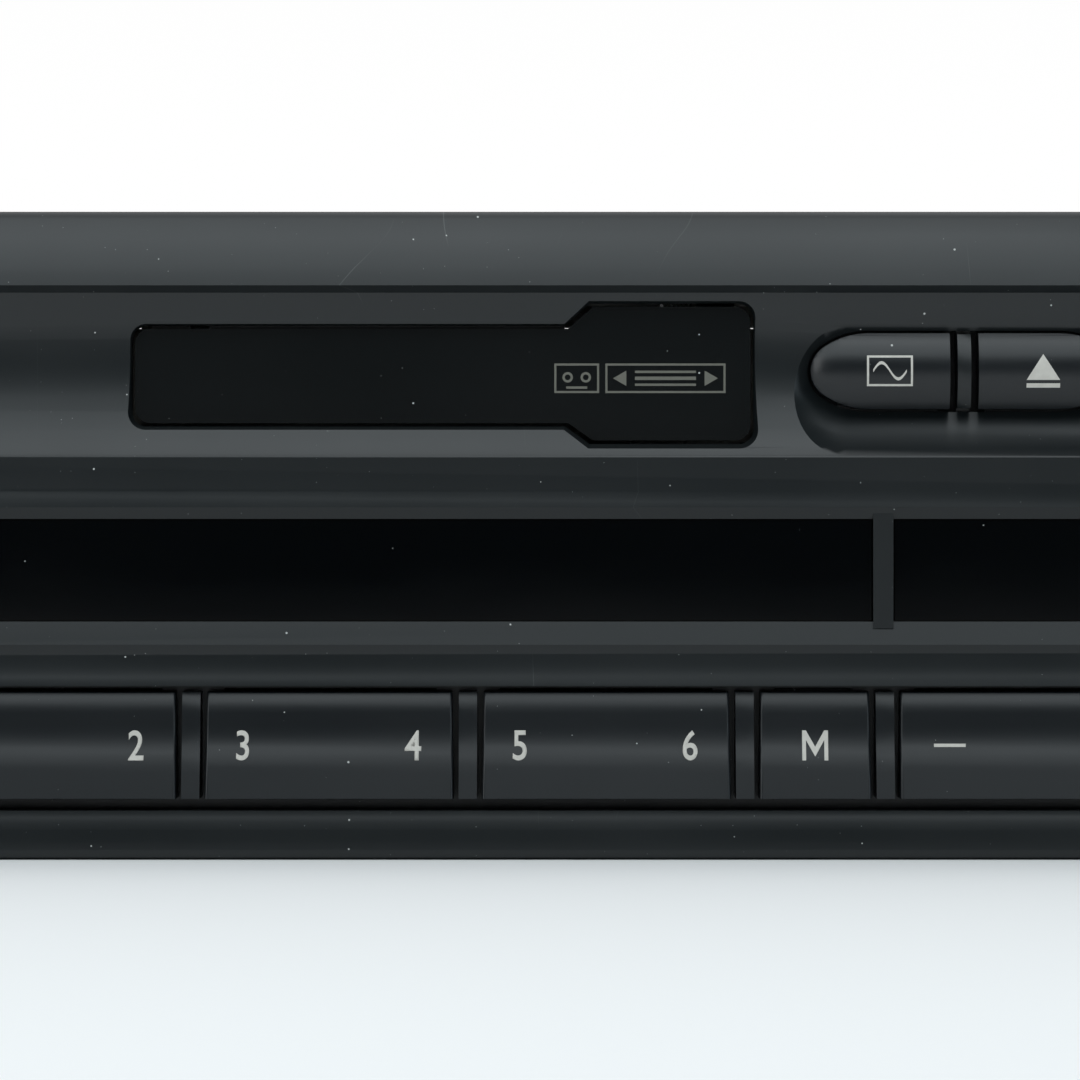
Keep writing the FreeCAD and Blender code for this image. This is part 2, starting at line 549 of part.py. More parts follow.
def front_panel():
    outside = panel_bulk("outside", front_section(), 0)
    inside = panel_bulk("inside", back_section(), "panel_wall")
    skin = cut("skin", outside, inside)
    rings = [
        rod(f"{name}_ring", "y", "ring_r", out("ring_out"), out("ring_back"), (x, "knob_z"))
        for name, x in KNOBS.items()
    ]
    row = box(
        "row_opening", ("row_start - key_gap", f"{ROW_RIGHT} + key_gap"),
        (out("nose_out"), out("-slot_straight")),
        ("row_low", "row_high"))
    tools = [*slot_tool(), *window_tool(), row]
    for name, x in KNOBS.items():
        tools.append(rod(f"{name}_well", "y", "well_r", out("nose_out"), out("well_floor"), (x, "knob_z")))
        tools.append(rod(f"{name}_hole", "y", "bushing_hole", out("nose_out"), out(0), (x, "knob_z")))
    for name, (middle, _, _) in PODS.items():
        tools += pod_tools(name, middle)
    opened = cut("opened_skin", fuse("skin_and_rings", skin, *rings), *tools)
    added = [pod_rib(f"{name}_rib", middle) for name, (middle, _, _) in PODS.items()]
    added.append(box(
        "window_divider", ("divider_x", "divider_x + divider_width"),
        (out("divider_out"), out("back_mid_out")),
        ("window_low - divider_under", "window_high + divider_under")))
    roots = {"post_low": "back_row_out", "post_high": "back_band_out - 0.4"}
    for x, z in POSTS:
        added.append(rod("screw_post", "y", "post_r", out(roots[z]), FRONT, (x, z)))
    for at in (PIN_LEFT, f"({PIN_RIGHT} - boss_width)"):
        added.append(box(
            "hinge_boss", (at, f"{at} + boss_width"), (out("back_step_out + 1"), out("boss_back")),
            ("boss_low", "boss_high")))
    added.append(box(
        "door_shade", ("slot_left + shade_inset", "slot_step_left"),
        (out("back_scoop_out + 0.2"), out("shade_back")), ("slot_thin_high - shade_drop", "shade_high")))
    for x in ("-peg_x", "peg_x"):
        for z in ("peg_low", "peg_high"):
            added.append(rod("frame_peg", "y", "peg_r", out("back_row_out + 1"), out("peg_out"), (x, z)))
    whole = fuse("panel_with_bosses", opened, *added)
    bores = [
        rod("screw_pilot", "y", "post_pilot_r", f"{FRONT} - post_pilot", FRONT, (x, z)) for x, z in POSTS
    ]
    bores.append(rod("hinge_bore", "x", "hinge_r", PIN_LEFT, PIN_RIGHT, (out("hinge_out"), "hinge_z")))
    named("front_panel", cut("panel", whole, *bores))


# ---------------------------------------------------------------- the keys

def key_section(back):
    return [
        (out(back), "key_high"), (out("key_crown_out"), "key_high", "key_crown_radius"),
        (out("key_waist_out"), "key_waist", "-key_waist_radius"),
        (out("key_slope_out"), "key_slope", "key_slope_radius"), (out("key_toe_out"), "key_toe"),
        (out("key_foot_out"), "key_low"), (out(back), "key_low"),
    ]


def key_block(name, left, width, back):
    """A key's body: its curved section, a little wider at the bottom, with soft front edges."""
    right = f"({left} + {width})"
    face = [
        (f"{left} - key_flare", "key_low"), (f"{right} + key_flare", "key_low"), (right, "key_high"),
        (left, "key_high"),
    ]
    block = common(
        name + "_block",
        prism(name + "_section", "side", [key_section(back)], f"{left} - 1", f"{right} + 1"),
        prism(name + "_face", "front", [face], out("nose_out"), out(back)),
    )
    middle = number(f"{left} + {width} / 2")
    reach = number(f"{width} / 2 - 1")
    front = number(out("key_crown_out - 0.5"))
    high = number("key_high") - 0.01

    def on_the_front(edge):
        points = ends(edge)
        beside = all(abs(p.x - middle) > reach for p in points)
        upright = abs(points[0].z - points[1].z) > 0.5
        crosses = points[0].x < middle < points[1].x or points[1].x < middle < points[0].x
        on_top = all(p.z > high for p in points)
        return all(p.y < front for p in points) and (beside and upright or crosses and on_top)

    return rounded(name + "_soft_block", block, "key_round", on_the_front)


def rocker(name, left):
    """A key that rocks about an upright pivot, with a stem behind each half."""
    middle = f"({left} + rocker_width / 2)"
    low, high = "key_low", "key_high"
    stem_low = "(key_low + key_high - stem_height) / 2"
    stem_high = "(key_low + key_high + stem_height) / 2"
    pieces = [
        key_block(name, left, "rocker_width", "key_back"),
        box(name + "_web", (f"{middle} - pivot_web / 2", f"{middle} + pivot_web / 2"),
            (out("key_back"), out("pivot_out - pivot_r")), (low, high)),
        rod(name + "_pivot", "z", "pivot_r", "key_low - frame_window_over - pivot_over",
            "key_high + frame_window_over + pivot_over", (middle, out("pivot_out"))),
    ]
    for side in ("-", "+"):
        at = f"({middle} {side} stem_apart / 2)"
        pieces.append(box(
            name + "_stem", (f"{at} - stem_width / 2", f"{at} + stem_width / 2"),
            (out("key_back"), out("stem_out")), (stem_low, stem_high)))
    named(name, fuse(name + "_key", *pieces))


def memory_key():
    """A key that pushes straight in; its guide block fills the frame's window, with a catch behind."""
    left, back = MEMORY_LEFT, "(frame_front + push_travel + 0.3)"
    middle = f"({left} + memory_width / 2)"
    inner = "(memory_width / 2 - frame_window_in - push_play)"
    low, high = "(key_low - frame_window_over + push_play)", "(key_high + frame_window_over - push_play)"
    pieces = [
        key_block("memory", left, "memory_width", back),
        box("memory_guide",
            (f"{middle} - {inner}", f"{middle} + {inner}"), (out(back), out("catch_out - 0.8")),
            ("key_low + 0.2", "key_high - 0.2")),
        box("memory_slide", (f"{middle} - {inner}", f"{middle} + {inner}"),
            (out("frame_front - 0.2"), out("catch_out - 0.8")), (low, high)),
        box("memory_catch", (f"{middle} - 2", f"{middle} + 2"), (out("catch_out"), out("catch_out - 0.8")),
            (f"{low} - catch_over", f"{high} + catch_over")),
        box("memory_stem", (f"{middle} - stem_width / 2", f"{middle} + stem_width / 2"),
            (out("catch_out"), out("push_stem_out")),
            ("(key_low + key_high - stem_height) / 2", "(key_low + key_high + stem_height) / 2")),
    ]
    named("memory_key", fuse("memory_whole", *pieces))


def key_guide_frame():
    """The moulded frame behind the key row: a window and a pair of pivot holes for each key, and the ribs."""
    frame = box(
        "frame_plate", ("-frame_half", "frame_half"), (out("frame_front"), out("frame_back")),
        ("frame_low", "frame_high"))
    ribs = []
    lefts = [*list(ROCKERS.values())[:3], MEMORY_LEFT, SEEK_LEFT]
    for left in lefts[1:]:
        at = f"({left} - key_gap - rib_width)"
        rib = prism("frame_rib", "side", [key_section("frame_back")], at, f"{at} + rib_width")
        ribs.append(place(rib, 0, "rib_set_back", 0))
    holes = []
    widths = dict.fromkeys(lefts, "rocker_width") | {MEMORY_LEFT: "memory_width"}
    for left in lefts:
        holes.append(box(
            "frame_window", (f"{left} + frame_window_in", f"{left} + {widths[left]} - frame_window_in"),
            (out("frame_front + 1"), out("frame_back - 1")),
            ("key_low - frame_window_over", "key_high + frame_window_over")))
        if left != MEMORY_LEFT:
            holes.append(rod(
                "pivot_hole", "z", "pivot_r + pivot_play",
                "key_low - frame_window_over - pivot_over - pivot_play",
                "key_high + frame_window_over + pivot_over + pivot_play",
                (f"{left} + rocker_width / 2", out("pivot_out"))))
    for x in ("-peg_x", "peg_x"):
        for z in ("peg_low", "peg_high"):
            holes.append(rod(
                "peg_hole", "y", "peg_r + peg_play", out("frame_front + 1"), out("frame_back - 1"), (x, z)))
    named("key_guide_frame", cut("guide_frame", fuse("frame_and_ribs", frame, *ribs), *holes))


def pod_pill(name, near, sign):
    """A key's visible body: flat at its inner end, tapering at its outer end, and softly domed in front."""
    half, reach = "pod_half_height", f"({sign} * (pod_key - pod_dome))"
    radius, along, up = tapering_end(half, "pod_dome", "pod_tip")
    along, tip = f"({reach} + {sign} * {along})", f"{sign} * pod_tip"
    radius = f"{sign} * {radius}"
    body = new_body(name)
    pad(body, "front", [[
        (0, f"-{half}"), (reach, f"-{half}", radius), (along, f"-{up}", tip), (along, up, radius),
        (reach, half), (0, half),
    ]], 0, "pod_front - pod_back")
    place(body, near, out("pod_front"), "pod_z")
    ends = [f"({near} - {sign} * pod_gap)", f"({near} + {sign} * (pod_key - {half}))"]
    dome = capsule(name + "_dome", "pod_crown", *ends[::sign], out("pod_front - pod_crown"), "pod_z")
    return common(name + "_domed", body, dome)


def pod_key(name, middle, sign):
    """One key of a pod, with a flange behind the panel and a stem; sign is which side of the rib it is on."""
    pill = pod_pill(name + "_pill", f"({middle} + {sign} * (pod_rib / 2 + pod_gap))", sign)
    stem = f"({middle} + {sign} * {POD_STEM})"
    low, high = "pod_z - pod_half_height", "pod_z + pod_half_height"
    flange = box(
        name + "_flange", (f"{stem} - pod_key / 2 + 2", f"{stem} + pod_key / 2 - 2"),
        (out("pod_flange_front"), out("pod_flange_back")),
        (f"{low} - pod_flange_over", f"{high} + pod_flange_over"))
    neck = box(
        name + "_neck", (f"{stem} - pod_key / 2 + 3", f"{stem} + pod_key / 2 - 3"),
        (out("pod_back"), out("pod_flange_front")), (f"{low} + 1", f"{high} - 1"))
    stalk = box(
        name + "_stem", (f"{stem} - pod_stem_width / 2", f"{stem} + pod_stem_width / 2"),
        (out("pod_flange_back"), out("push_stem_out")),
        ("pod_z - pod_stem_height / 2", "pod_z + pod_stem_height / 2"))
    named(name, fuse(name + "_key", pill, neck, flange, stalk))


def pod_guides():
    """The plates behind the pods that guide the keys' stems, each screwed to the board behind it."""
    plates = []
    for name, (middle, _, _) in PODS.items():
        reach = f"({POD_HALF} + 2)"
        plate = box(
            name + "_guide", (f"{middle} - {reach}", f"{middle} + {reach}"),
            (out("pod_guide_front"), out("pod_guide_back")),
            ("pod_z - pod_half_height - pod_guide_over", "pod_z + pod_half_height + pod_guide_over"))
        holes = []
        legs = []
        for sign in (-1, 1):
            stem = f"({middle} + {sign} * {POD_STEM})"
            play = "pod_stem_play"
            holes.append(box(
                name + "_stem_hole",
                (f"{stem} - pod_stem_width / 2 - {play}", f"{stem} + pod_stem_width / 2 + {play}"),
                (out("pod_guide_front + 1"), out("pod_guide_back - 1")),
                (f"pod_z - pod_stem_height / 2 - {play}", f"pod_z + pod_stem_height / 2 + {play}")))
            legs.append(rod(
                name + "_leg", "y", 1.5, out("pod_guide_back"), out("board_front"),
                (f"{middle} + {sign} * ({POD_HALF} - 1.5)", "pod_z")))
        plates.append(fuse(name + "_guide_and_legs", cut(name + "_guide_plate", plate, *holes), *legs))
    named("pod_guides", group("pod_guide_group", *plates))


# ---------------------------------------------------------------- the cassette door

def cassette_door():
    plate = prism(
        "door_plate", "front", [slot_outline("door_gap")], out("door_out"), out("door_out - door_thick"))
    pieces = [plate]
    lugs = {"left": "(slot_left + lug_inset)", "right": "(slot_right - lug_inset - lug_width)"}
    for side, left in lugs.items():
        across = (left, f"{left} + lug_width")
        pieces.append(box(
            side + "_lug_foot", across, (out("door_out - door_thick"), out("lug_back")),
            ("lug_low", "lug_low + lug_foot")))
        pieces.append(
            box(side + "_lug_leg", across, (out("lug_front"), out("lug_back")), ("lug_low", "hinge_z")))
        pieces.append(rod(side + "_lug_eye", "x", "lug_r", *across, (out("hinge_out"), "hinge_z")))
    bore = rod("door_bore", "x", "hinge_r + hinge_play", PIN_LEFT, PIN_RIGHT, (out("hinge_out"), "hinge_z"))
    named("cassette_door", cut("door", fuse("door_and_lugs", *pieces), bore))
    named("door_hinge_pin", rod(
        "door_pin", "x", "hinge_r", PIN_LEFT, PIN_RIGHT, (out("hinge_out"), "hinge_z")))


def door_spring():
    """A coil round the hinge pin with one leg on the door and one on the panel."""
    radius, wire = number("coil_r"), number("coil_wire_r")
    pitch, turns = number("coil_pitch"), number("coil_turns")
    right_end = number("slot_right - lug_inset - lug_width - 0.6")
    start = V(right_end - pitch * turns, number(out("hinge_out")), number("hinge_z"))
    helix = Part.makeHelix(pitch, pitch * turns, radius)
    ring = Part.Wire(Part.makeCircle(wire, V(radius, 0, 0), V(0, 1, 0)))
    coil = Part.Wire(helix).makePipeShell([ring], True, True)
    coil.rotate(V(), V(0, 1, 0), 90)
    coil.translate(start)
    made = doc.addObject("Part::Feature", "door_spring_coil")
    made.Shape = coil
    named("door_spring", made)


# ---------------------------------------------------------------- the display

def display():
    gap, over = "lens_gap", "lens_flange"
    flange = box(
        "lens_flange_plate", (f"-window_half - {over}", f"window_half + {over}"),
        (out("lens_flange_out"), out("lens_back")), (f"window_low - {over}", f"window_high + {over}"))
    height = (f"window_low + {gap}", f"window_high - {gap}")
    depth = (out("lens_out"), out("lens_back"))
    left = box("lens_left", (f"-window_half + {gap}", f"divider_x - {gap}"), depth, height)
    right = box("lens_right", (f"divider_x + divider_width + {gap}", f"window_half - {gap}"), depth, height)
    named("display_window", fuse("lens", flange, left, right))
    glass = box(
        "glass", ("-glass_half", "glass_half"), (out("glass_front"), out("glass_back")),
        ("glass_low", "glass_high"))
    named("display_panel", glass)
    guide = box(
        "guide", ("-glass_half", "glass_half"), (out("guide_front"), out("guide_back")),
        ("glass_low", "glass_high"))
    named("backlight_guide", guide)


# ---------------------------------------------------------------- the knobs

def knob(name, x):
    """A turned knob with a skirt, a fluted grip, a dished face with a mark, and a hub behind."""
    inner = "(knob_waist_r - knob_wall)"
    body = turned(name + "_knob_body", [
        ("shaft_r", "knob_back"), ("hub_r", "knob_back"), ("hub_r", "shaft_front"),
        (inner, "shaft_front"), (inner, "knob_back"), ("knob_r", "knob_back"), ("knob_r", "knob_waist"),
        ("knob_waist_r", "knob_waist + 0.6"), ("knob_waist_r", "knob_front - knob_round", "knob_round"),
        ("knob_waist_r - knob_round", "knob_front"), ("dish_r", "knob_front"),
        ("dish_r - 0.6", "knob_front - dish_deep"), (0, "knob_front - dish_deep"), (0, "shaft_front"),
        ("shaft_r", "shaft_front"),
    ], (x, "knob_z"))
    doc.recompute()
    flute = pocket(
        body, "front", [("circle", "knob_waist_r", 0, "flute_r")], out("knob_front + 1"),
        out("knob_waist + 0.7"))
    pattern = body.newObject("PartDesign::PolarPattern", name + "_flutes")
    pattern.Originals = [flute]
    pattern.Axis = (next(f for f in body.Origin.OriginFeatures if f.Role == "Y_Axis"), [""])
    pattern.Angle = 360
    pattern.setExpression("Occurrences", full("flutes"))
    body.Tip = pattern
    pocket(
        body, "front",
        [rectangle("-mark_wide / 2", "mark_wide / 2", "dish_r - mark_long", "knob_waist_r - knob_round")],
        out("knob_front + 1"), out("knob_front - dish_deep - mark_deep"))
    named(name + "_knob", body)
    named(name + "_shaft", rod(
        name + "_shaft_rod", "y", "shaft_r", out("shaft_front"), out("shaft_back"), (x, "knob_z")))


def encoder(name, x):
    """The rotary encoder behind a knob: its square housing on the board and its bushing."""
    half = "encoder_side / 2"
    housing = box(
        name + "_housing", (f"{x} - {half}", f"{x} + {half}"), (out("encoder_front"), out("board_front")),
        (f"knob_z - {half}", f"knob_z + {half}"))
    bushing = rod(
        name + "_bushing", "y", "bushing_r", out("bushing_front"), out("encoder_front"), (x, "knob_z"))
    bore = rod(
        name + "_bore", "y", "shaft_r + shaft_play", out("bushing_front"), out("encoder_bore"), (x, "knob_z"))
    seat = rod(
        name + "_seat", "y", "plunger_r + plunger_play", out("encoder_bore"), out("encoder_floor"),
        (x, "knob_z"))
    named(name + "_encoder", cut(name + "_encoder_body", fuse(name + "_case", housing, bushing), bore, seat))


# ---------------------------------------------------------------- the front circuit board

def switch_spots():
    """Where each tact switch stands, as (x, z)."""
    row = "(key_low + key_high) / 2"
    spots = [
        (f"{left} + rocker_width / 2 {side} stem_apart / 2", row)
        for left in ROCKERS.values() for side in "-+"
    ]
    spots.append((f"{MEMORY_LEFT} + memory_width / 2", row))
    for middle, _, _ in PODS.values():
        spots += [(f"{middle} {side} {POD_STEM}", "pod_z") for side in "-+"]
    return spots


def front_board():
    outline = [
        ("-board_half", "board_low"), ("board_half", "board_low"), ("board_half", "board_top"),
        ("board_notch_right", "board_top"), ("board_notch_right", "board_high"),
        ("board_notch_left", "board_high"), ("board_notch_left", "board_top"), ("-board_half", "board_top"),
    ]
    named("front_circuit_board", prism(
        "front_board", "front", [outline], out("board_front"), out("board_front - board_thick")))
    switches = []
    for x, z in switch_spots():
        half = "switch_side / 2"
        case = box(
            "switch_case", (f"{x} - {half}", f"{x} + {half}"), (out("switch_front"), out("board_front")),
            (f"{z} - {half}", f"{z} + {half}"))
        button = rod(
            "switch_button", "y", "switch_button_r", out("switch_button_out"), out("switch_front"), (x, z))
        switches.append(fuse("tact_switch", case, button))
    named("tact_switches", group("switch_group", *switches))


# ---------------------------------------------------------------- the steel frame, tray and cover

def mounting_frame():
    """The steel plate that closes the panel's rim; the radio is fastened by its four outer holes."""
    behind = f"({FRONT} + plate_thick)"
    body = new_body("steel_frame")
    outline = soft_rectangle("-plate_half", "plate_half", "plate_low", "plate_high", "(corner_radius - 1)")
    window = rectangle("-plate_window_half", "plate_window_half", "plate_window_low", "plate_window_high")
    holes = [("circle", x, z, "post_pilot_r + screw_play") for x, z in POSTS]
    holes += [
        ("circle", f"{side}dash_x", z, "dash_r") for side in ("-", "") for z in ("dash_low", "dash_high")
    ]
    pad(body, "front", [outline, window, *holes], FRONT, behind)
    named("mounting_frame", body)


def chassis_tray():
    """A folded tray with a floor, two sides and a back, standing on four pressed feet at the back."""
    front, thick = f"({FRONT} + plate_thick)", "sheet_thick"
    outside = box("tray_outside", ("-tray_half", "tray_half"), (front, BACK), ("tray_low", "tray_high"))
    inside = box(
        "tray_inside", (f"-tray_half + {thick}", f"tray_half - {thick}"),
        (f"{front} - 1", f"{BACK} - {thick}"),
        (f"tray_low + {thick}", "tray_high + 1"))
    feet = [
        rod("tray_foot", "z", "foot_r", 0, "tray_low", (x, y))
        for x in ("-foot_x", "foot_x") for y in ("foot_front", "foot_rear")
    ]
    wall = (f"{BACK} - 2 * {thick}", f"{BACK} + 1")
    holes = [
        box("plug_hole", ("plug_left", "plug_right"), wall, ("plug_low", "plug_high")),
        box("fuse_hole", ("fuse_x - fuse_wide / 2", "fuse_x + fuse_wide / 2"), wall,
            ("fuse_z - fuse_high / 2", "fuse_z + fuse_high / 2")),
        rod("aerial_hole", "y", "aerial_r", *wall, ("aerial_x", "aerial_z")),
        rod("stud_hole", "y", "stud_neck_r", *wall, ("stud_x", "stud_z")),
    ]
    for side in ("-", ""):
        holes.append(rod(
            "side_screw_hole", "x", "screw_r", f"{side}tray_half - 2", f"{side}tray_half + 2",
            ("cover_screw_y", "cover_screw_z")))
        holes.append(rod(
            "side_screw_hole", "x", "screw_r", f"{side}tray_half - 2", f"{side}tray_half + 2",
            ("foot_front", "cover_screw_z")))
    folds = cut("tray_folds", outside, inside)
    named("chassis_tray", cut("tray", fuse("tray_and_feet", folds, *feet), *holes))


def top_cover():
    """The lid, with a turned-down edge over each side of the tray and two rows of cooling slots."""
    gap, thick = "cover_gap", "sheet_thick"
    half = f"(tray_half + {gap} + {thick})"
    front = f"({FRONT} + plate_thick + {gap})"
    low = f"(tray_high + {gap})"
    lid = box("lid", (f"-{half}", half), (front, BACK), (low, f"{low} + {thick}"))
    edges = [
        box("lid_edge", (f"-{half}", f"-{half} + {thick}"), (front, BACK), (f"{low} - cover_flange", low)),
        box("lid_edge", (f"{half} - {thick}", half), (front, BACK), (f"{low} - cover_flange", low)),
    ]
    holes = []
    for side in ("-", ""):
        for row in range(SIZES["slots"]):
            y = f"(vent_y + {row} * slot_pitch)"
            holes.append(box(
                "cooling_slot", (f"{side}vent_x - slot_length / 2", f"{side}vent_x + slot_length / 2"),
                (y, f"{y} + slot_width"), (f"{low} - 1", f"{low} + 2 * {thick}")))
        for y in ("cover_screw_y", "foot_front"):
            holes.append(rod(
                "side_screw_way", "x", "screw_r + screw_play", f"{side}tray_half - 3", f"{side}tray_half + 3",
                (y, "cover_screw_z")))
    named("top_cover", cut("cover", fuse("cover_folds", lid, *edges), *holes))


def screw(axis, radius, tip, seat, way, at):
    """A cross-head screw along an axis: its shank from tip to seat, and its head beyond the seat."""
    high = f"({seat} + {way} * head_high)"
    shank = (tip, seat) if way > 0 else (seat, tip)
    head = (seat, high) if way > 0 else (high, seat)
    deep = (f"{high} - cross_deep", f"{high} + 1") if way > 0 else (f"{high} - 1", f"{high} + cross_deep")
    solid = fuse(
        "screw_body", rod("screw_shank", axis, radius, *shank, at),
        rod("screw_head", axis, "head_r", *head, at))
    wide, long = "cross_width / 2", "cross_long / 2"
    slots = []
    for across, up in ((wide, long), (long, wide)):
        spans = [(f"{at[0]} - {across}", f"{at[0]} + {across}"), (f"{at[1]} - {up}", f"{at[1]} + {up}")]
        spans.insert("xyz".index(axis), deep)
        slots.append(box("screw_cross", *spans))
    return cut("cross_head_screw", solid, *slots)


def screws():
    behind = f"({FRONT} + plate_thick)"
    named("panel_screws", group("panel_screw_group", *[
        screw("y", "post_pilot_r", f"{FRONT} - screw_long", behind, 1, at) for at in POSTS
    ]))
    side_screws = []
    for side, way in (("-", -1), ("", 1)):
        seat = f"({way} * (tray_half + cover_gap + sheet_thick))"
        for y in ("cover_screw_y", "foot_front"):
            tip = f"{seat} - {way} * screw_long"
            side_screws.append(screw("x", "screw_r", tip, seat, way, (y, "cover_screw_z")))
    named("cover_screws", group("cover_screw_group", *side_screws))


# ---------------------------------------------------------------- the back wall

def heat_sink():
    base = box(
        "sink_plate", ("sink_left", "sink_right"), (BACK, f"{BACK} + sink_base"), ("sink_low", "sink_high"))
    fins = []
    for i in range(SIZES["fins"]):
        left = f"(sink_left + {i} * (sink_right - sink_left - fin_thick) / (fins - 1))"
        fins.append(box(
            "sink_fin", (left, f"{left} + fin_thick"),
            (f"{BACK} + sink_base", f"{BACK} + sink_base + fin_deep"),
            ("sink_low", "sink_high")))
    named("heat_sink", fuse("sink", base, *fins))


def rear_connector():
    """The socket for the car's loom, with two rows of pins on its floor."""
    wall = "plug_wall"
    shell = cut(
        "plug_shell",
        box("plug_outside",
            ("plug_left", "plug_right"), ("plug_front", "plug_back"), ("plug_low", "plug_high")),
        box("plug_inside", (f"plug_left + {wall}", f"plug_right - {wall}"),
            ("plug_front + plug_floor", "plug_back + 1"), (f"plug_low + {wall}", f"plug_high - {wall}")))
    pins = []
    for row in range(SIZES["plug_rows"]):
        for i in range(SIZES["plug_pins"]):
            x = f"(plug_left + ({i} + 0.5) * (plug_right - plug_left) / plug_pins)"
            z = f"(plug_low + ({row} + 0.5) * (plug_high - plug_low) / plug_rows)"
            pins.append(box(
                "plug_pin", (f"{x} - pin_wide / 2", f"{x} + pin_wide / 2"),
                ("plug_front + plug_floor", "plug_front + plug_floor + pin_long"),
                (f"{z} - pin_wide / 2", f"{z} + pin_wide / 2")))
    named("rear_connector", fuse("plug", shell, *pins))


def back_fittings():
    at = ("aerial_x", "aerial_z")
    tube = cut(
        "aerial_tube", fuse(
            "aerial_body", rod("aerial_barrel", "y", "aerial_r", f"{BACK} - 2", "aerial_back", at),
            rod("aerial_flange_disc", "y", "aerial_flange_r", BACK, f"{BACK} + aerial_flange", at)),
        rod("aerial_bore_hole", "y", "aerial_bore", f"{BACK} - 2 + aerial_floor", "aerial_back + 1", at))
    floor = f"({BACK} - 2 + aerial_floor)"
    pin = rod("aerial_pin_rod", "y", "aerial_pin_r", floor, f"{floor} + aerial_pin", at)
    named("aerial_socket", fuse("aerial", tube, pin))
    at = ("stud_x", "stud_z")
    inside = f"({BACK} - sheet_thick)"
    named("rear_stud", fuse(
        "stud", rod("stud_shank", "y", "stud_r", BACK, "stud_back", at),
        rod("stud_neck", "y", "stud_neck_r", inside, BACK, at),
        rod("stud_head_disc", "y", "stud_head_r", f"{inside} - stud_head", inside, at)))
    named("fuse", box(
        "fuse_body", ("fuse_x - fuse_wide / 2", "fuse_x + fuse_wide / 2"), ("fuse_front", "fuse_back"),
        ("fuse_z - fuse_high / 2", "fuse_z + fuse_high / 2")))


# ---------------------------------------------------------------- the main circuit board

def main_board():
    top = "(main_low + board_thick)"
    board = box(
        "main_plate", ("-main_half", "main_half"), ("main_front", "main_back"), ("main_low", top))
    ways = [
        rod("deck_post_way", "z", "deck_post_r + deck_post_play", "main_low - 1", f"{top} + 1", at)
        for at in DECK_POSTS
    ]
    named("main_circuit_board", cut("main_board", board, *ways))
    floor = "(tray_low + sheet_thick)"
    posts = [
        rod("standoff", "z", "standoff_r", floor, "main_low", (x, y))
        for x in ("-standoff_x", "standoff_x") for y in ("standoff_front", "standoff_back")
    ]
    posts += [rod("deck_post", "z", "deck_post_r", floor, "deck_low", at) for at in DECK_POSTS]
    named("standoff_posts", group("standoff_group", *posts))
    wall = "can_wall"
    named("tuner_module", cut(
        "tuner_can",
        box("can_outside", ("can_left", "can_left + can_wide"), ("can_front", "can_front + can_deep"),
            (top, f"{top} + can_high")),
        box("can_inside", (f"can_left + {wall}", f"can_left + can_wide - {wall}"),
            (f"can_front + {wall}", f"can_front + can_deep - {wall}"),
            (f"{top} - 1", f"{top} + can_high - {wall}"))))
    named("capacitors", group("capacitor_group", *[
        rod("capacitor", "z", "cap_r", top, f"{top} + cap_high", (f"cap_x - {i} * cap_pitch", "cap_y"))
        for i in range(SIZES["caps"])
    ]))
    wall_front = f"({BACK} - sheet_thick)"
    named("amplifier_chip", box(
        "amplifier", ("amp_x - amp_wide / 2", "amp_x + amp_wide / 2"),
        (f"{wall_front} - amp_thick", wall_front),
        ("amp_low", "amp_low + amp_high")))
    back = f"({out('board_front - board_thick')})"
    across = ("flex_x", "flex_x + flex_wide")
    named("flat_cable", fuse(
        "flex",
        box("flex_run", across, (back, "flex_end"), ("flex_high", "flex_high + flex_thick")),
        box("flex_drop", across, ("flex_end - flex_thick", "flex_end"), (top, "flex_high + flex_thick"))))


# ---------------------------------------------------------------- the cassette deck

def deck_plate():
    plate = box(
        "deck_sheet", ("deck_left", "deck_right"), ("deck_front", "deck_back"), ("deck_low", DECK_TOP))
    bearings = [
        rod("capstan_bearing", "z", "bearing_r", "bearing_low", "bearing_high", ("capstan_x", y))
        for y in CAPSTANS.values()
    ]
    pins = [
        rod("idler_axle", "z", "axle_r", "deck_low", "idler_high", ("idler_x", y)) for y in IDLERS.values()]
    pins += [
        rod("reel_axle", "z", "axle_r", "deck_low", "reel_tip - 1.5", ("reel_x", y)) for y in REELS.values()]
    bores = [
        rod("capstan_bore", "z", "capstan_r + bearing_play", "bearing_low - 1", "bearing_high + 1",
            ("capstan_x", y))
        for y in CAPSTANS.values()
    ]
    bores.append(rod(
        "motor_shaft_way", "z", "motor_shaft_r + 1", "deck_low - 1", f"{DECK_TOP} + 1",
        ("motor_x", "motor_y")))
    named("deck_plate", cut("deck", fuse("deck_and_axles", plate, *bearings, *pins), *bores))


def cassette_carriage():
    """The sheet-metal holder that lowers the cassette, open in front and cut away beside the heads."""
    x, y = ("carriage_left", "carriage_right"), ("carriage_front", "carriage_back")
    sheet = "carriage_sheet"
    outside = box("carriage_outside", x, y, ("carriage_low", "carriage_high"))
    tools = [
        box("carriage_room", (f"{x[0]} + {sheet}", f"{x[1]} - {sheet}"), (f"{y[0]} - 1", f"{y[1]} - {sheet}"),
            (f"carriage_low + {sheet}", f"carriage_high - {sheet}")),
        box("carriage_floor_gap",
            (f"{x[0]} + carriage_lip", f"{x[1]} - carriage_lip"), (f"{y[0]} - 1", f"{y[1]} + 1"),
            ("carriage_low - 1", f"carriage_low + {sheet} + 1")),
        box("head_notch", (f"{x[1]} - carriage_lip - 1", f"{x[1]} + 1"), ("notch_front", "notch_back"),
            ("carriage_low - 1", f"carriage_high - {sheet}")),
        box("top_window", (f"{x[0]} + 12", f"{x[1]} - 12"), ("notch_front", "notch_back"),
            (f"carriage_high - 2 * {sheet}", "carriage_high + 1")),
    ]
    named("cassette_carriage", cut("carriage", outside, *tools))


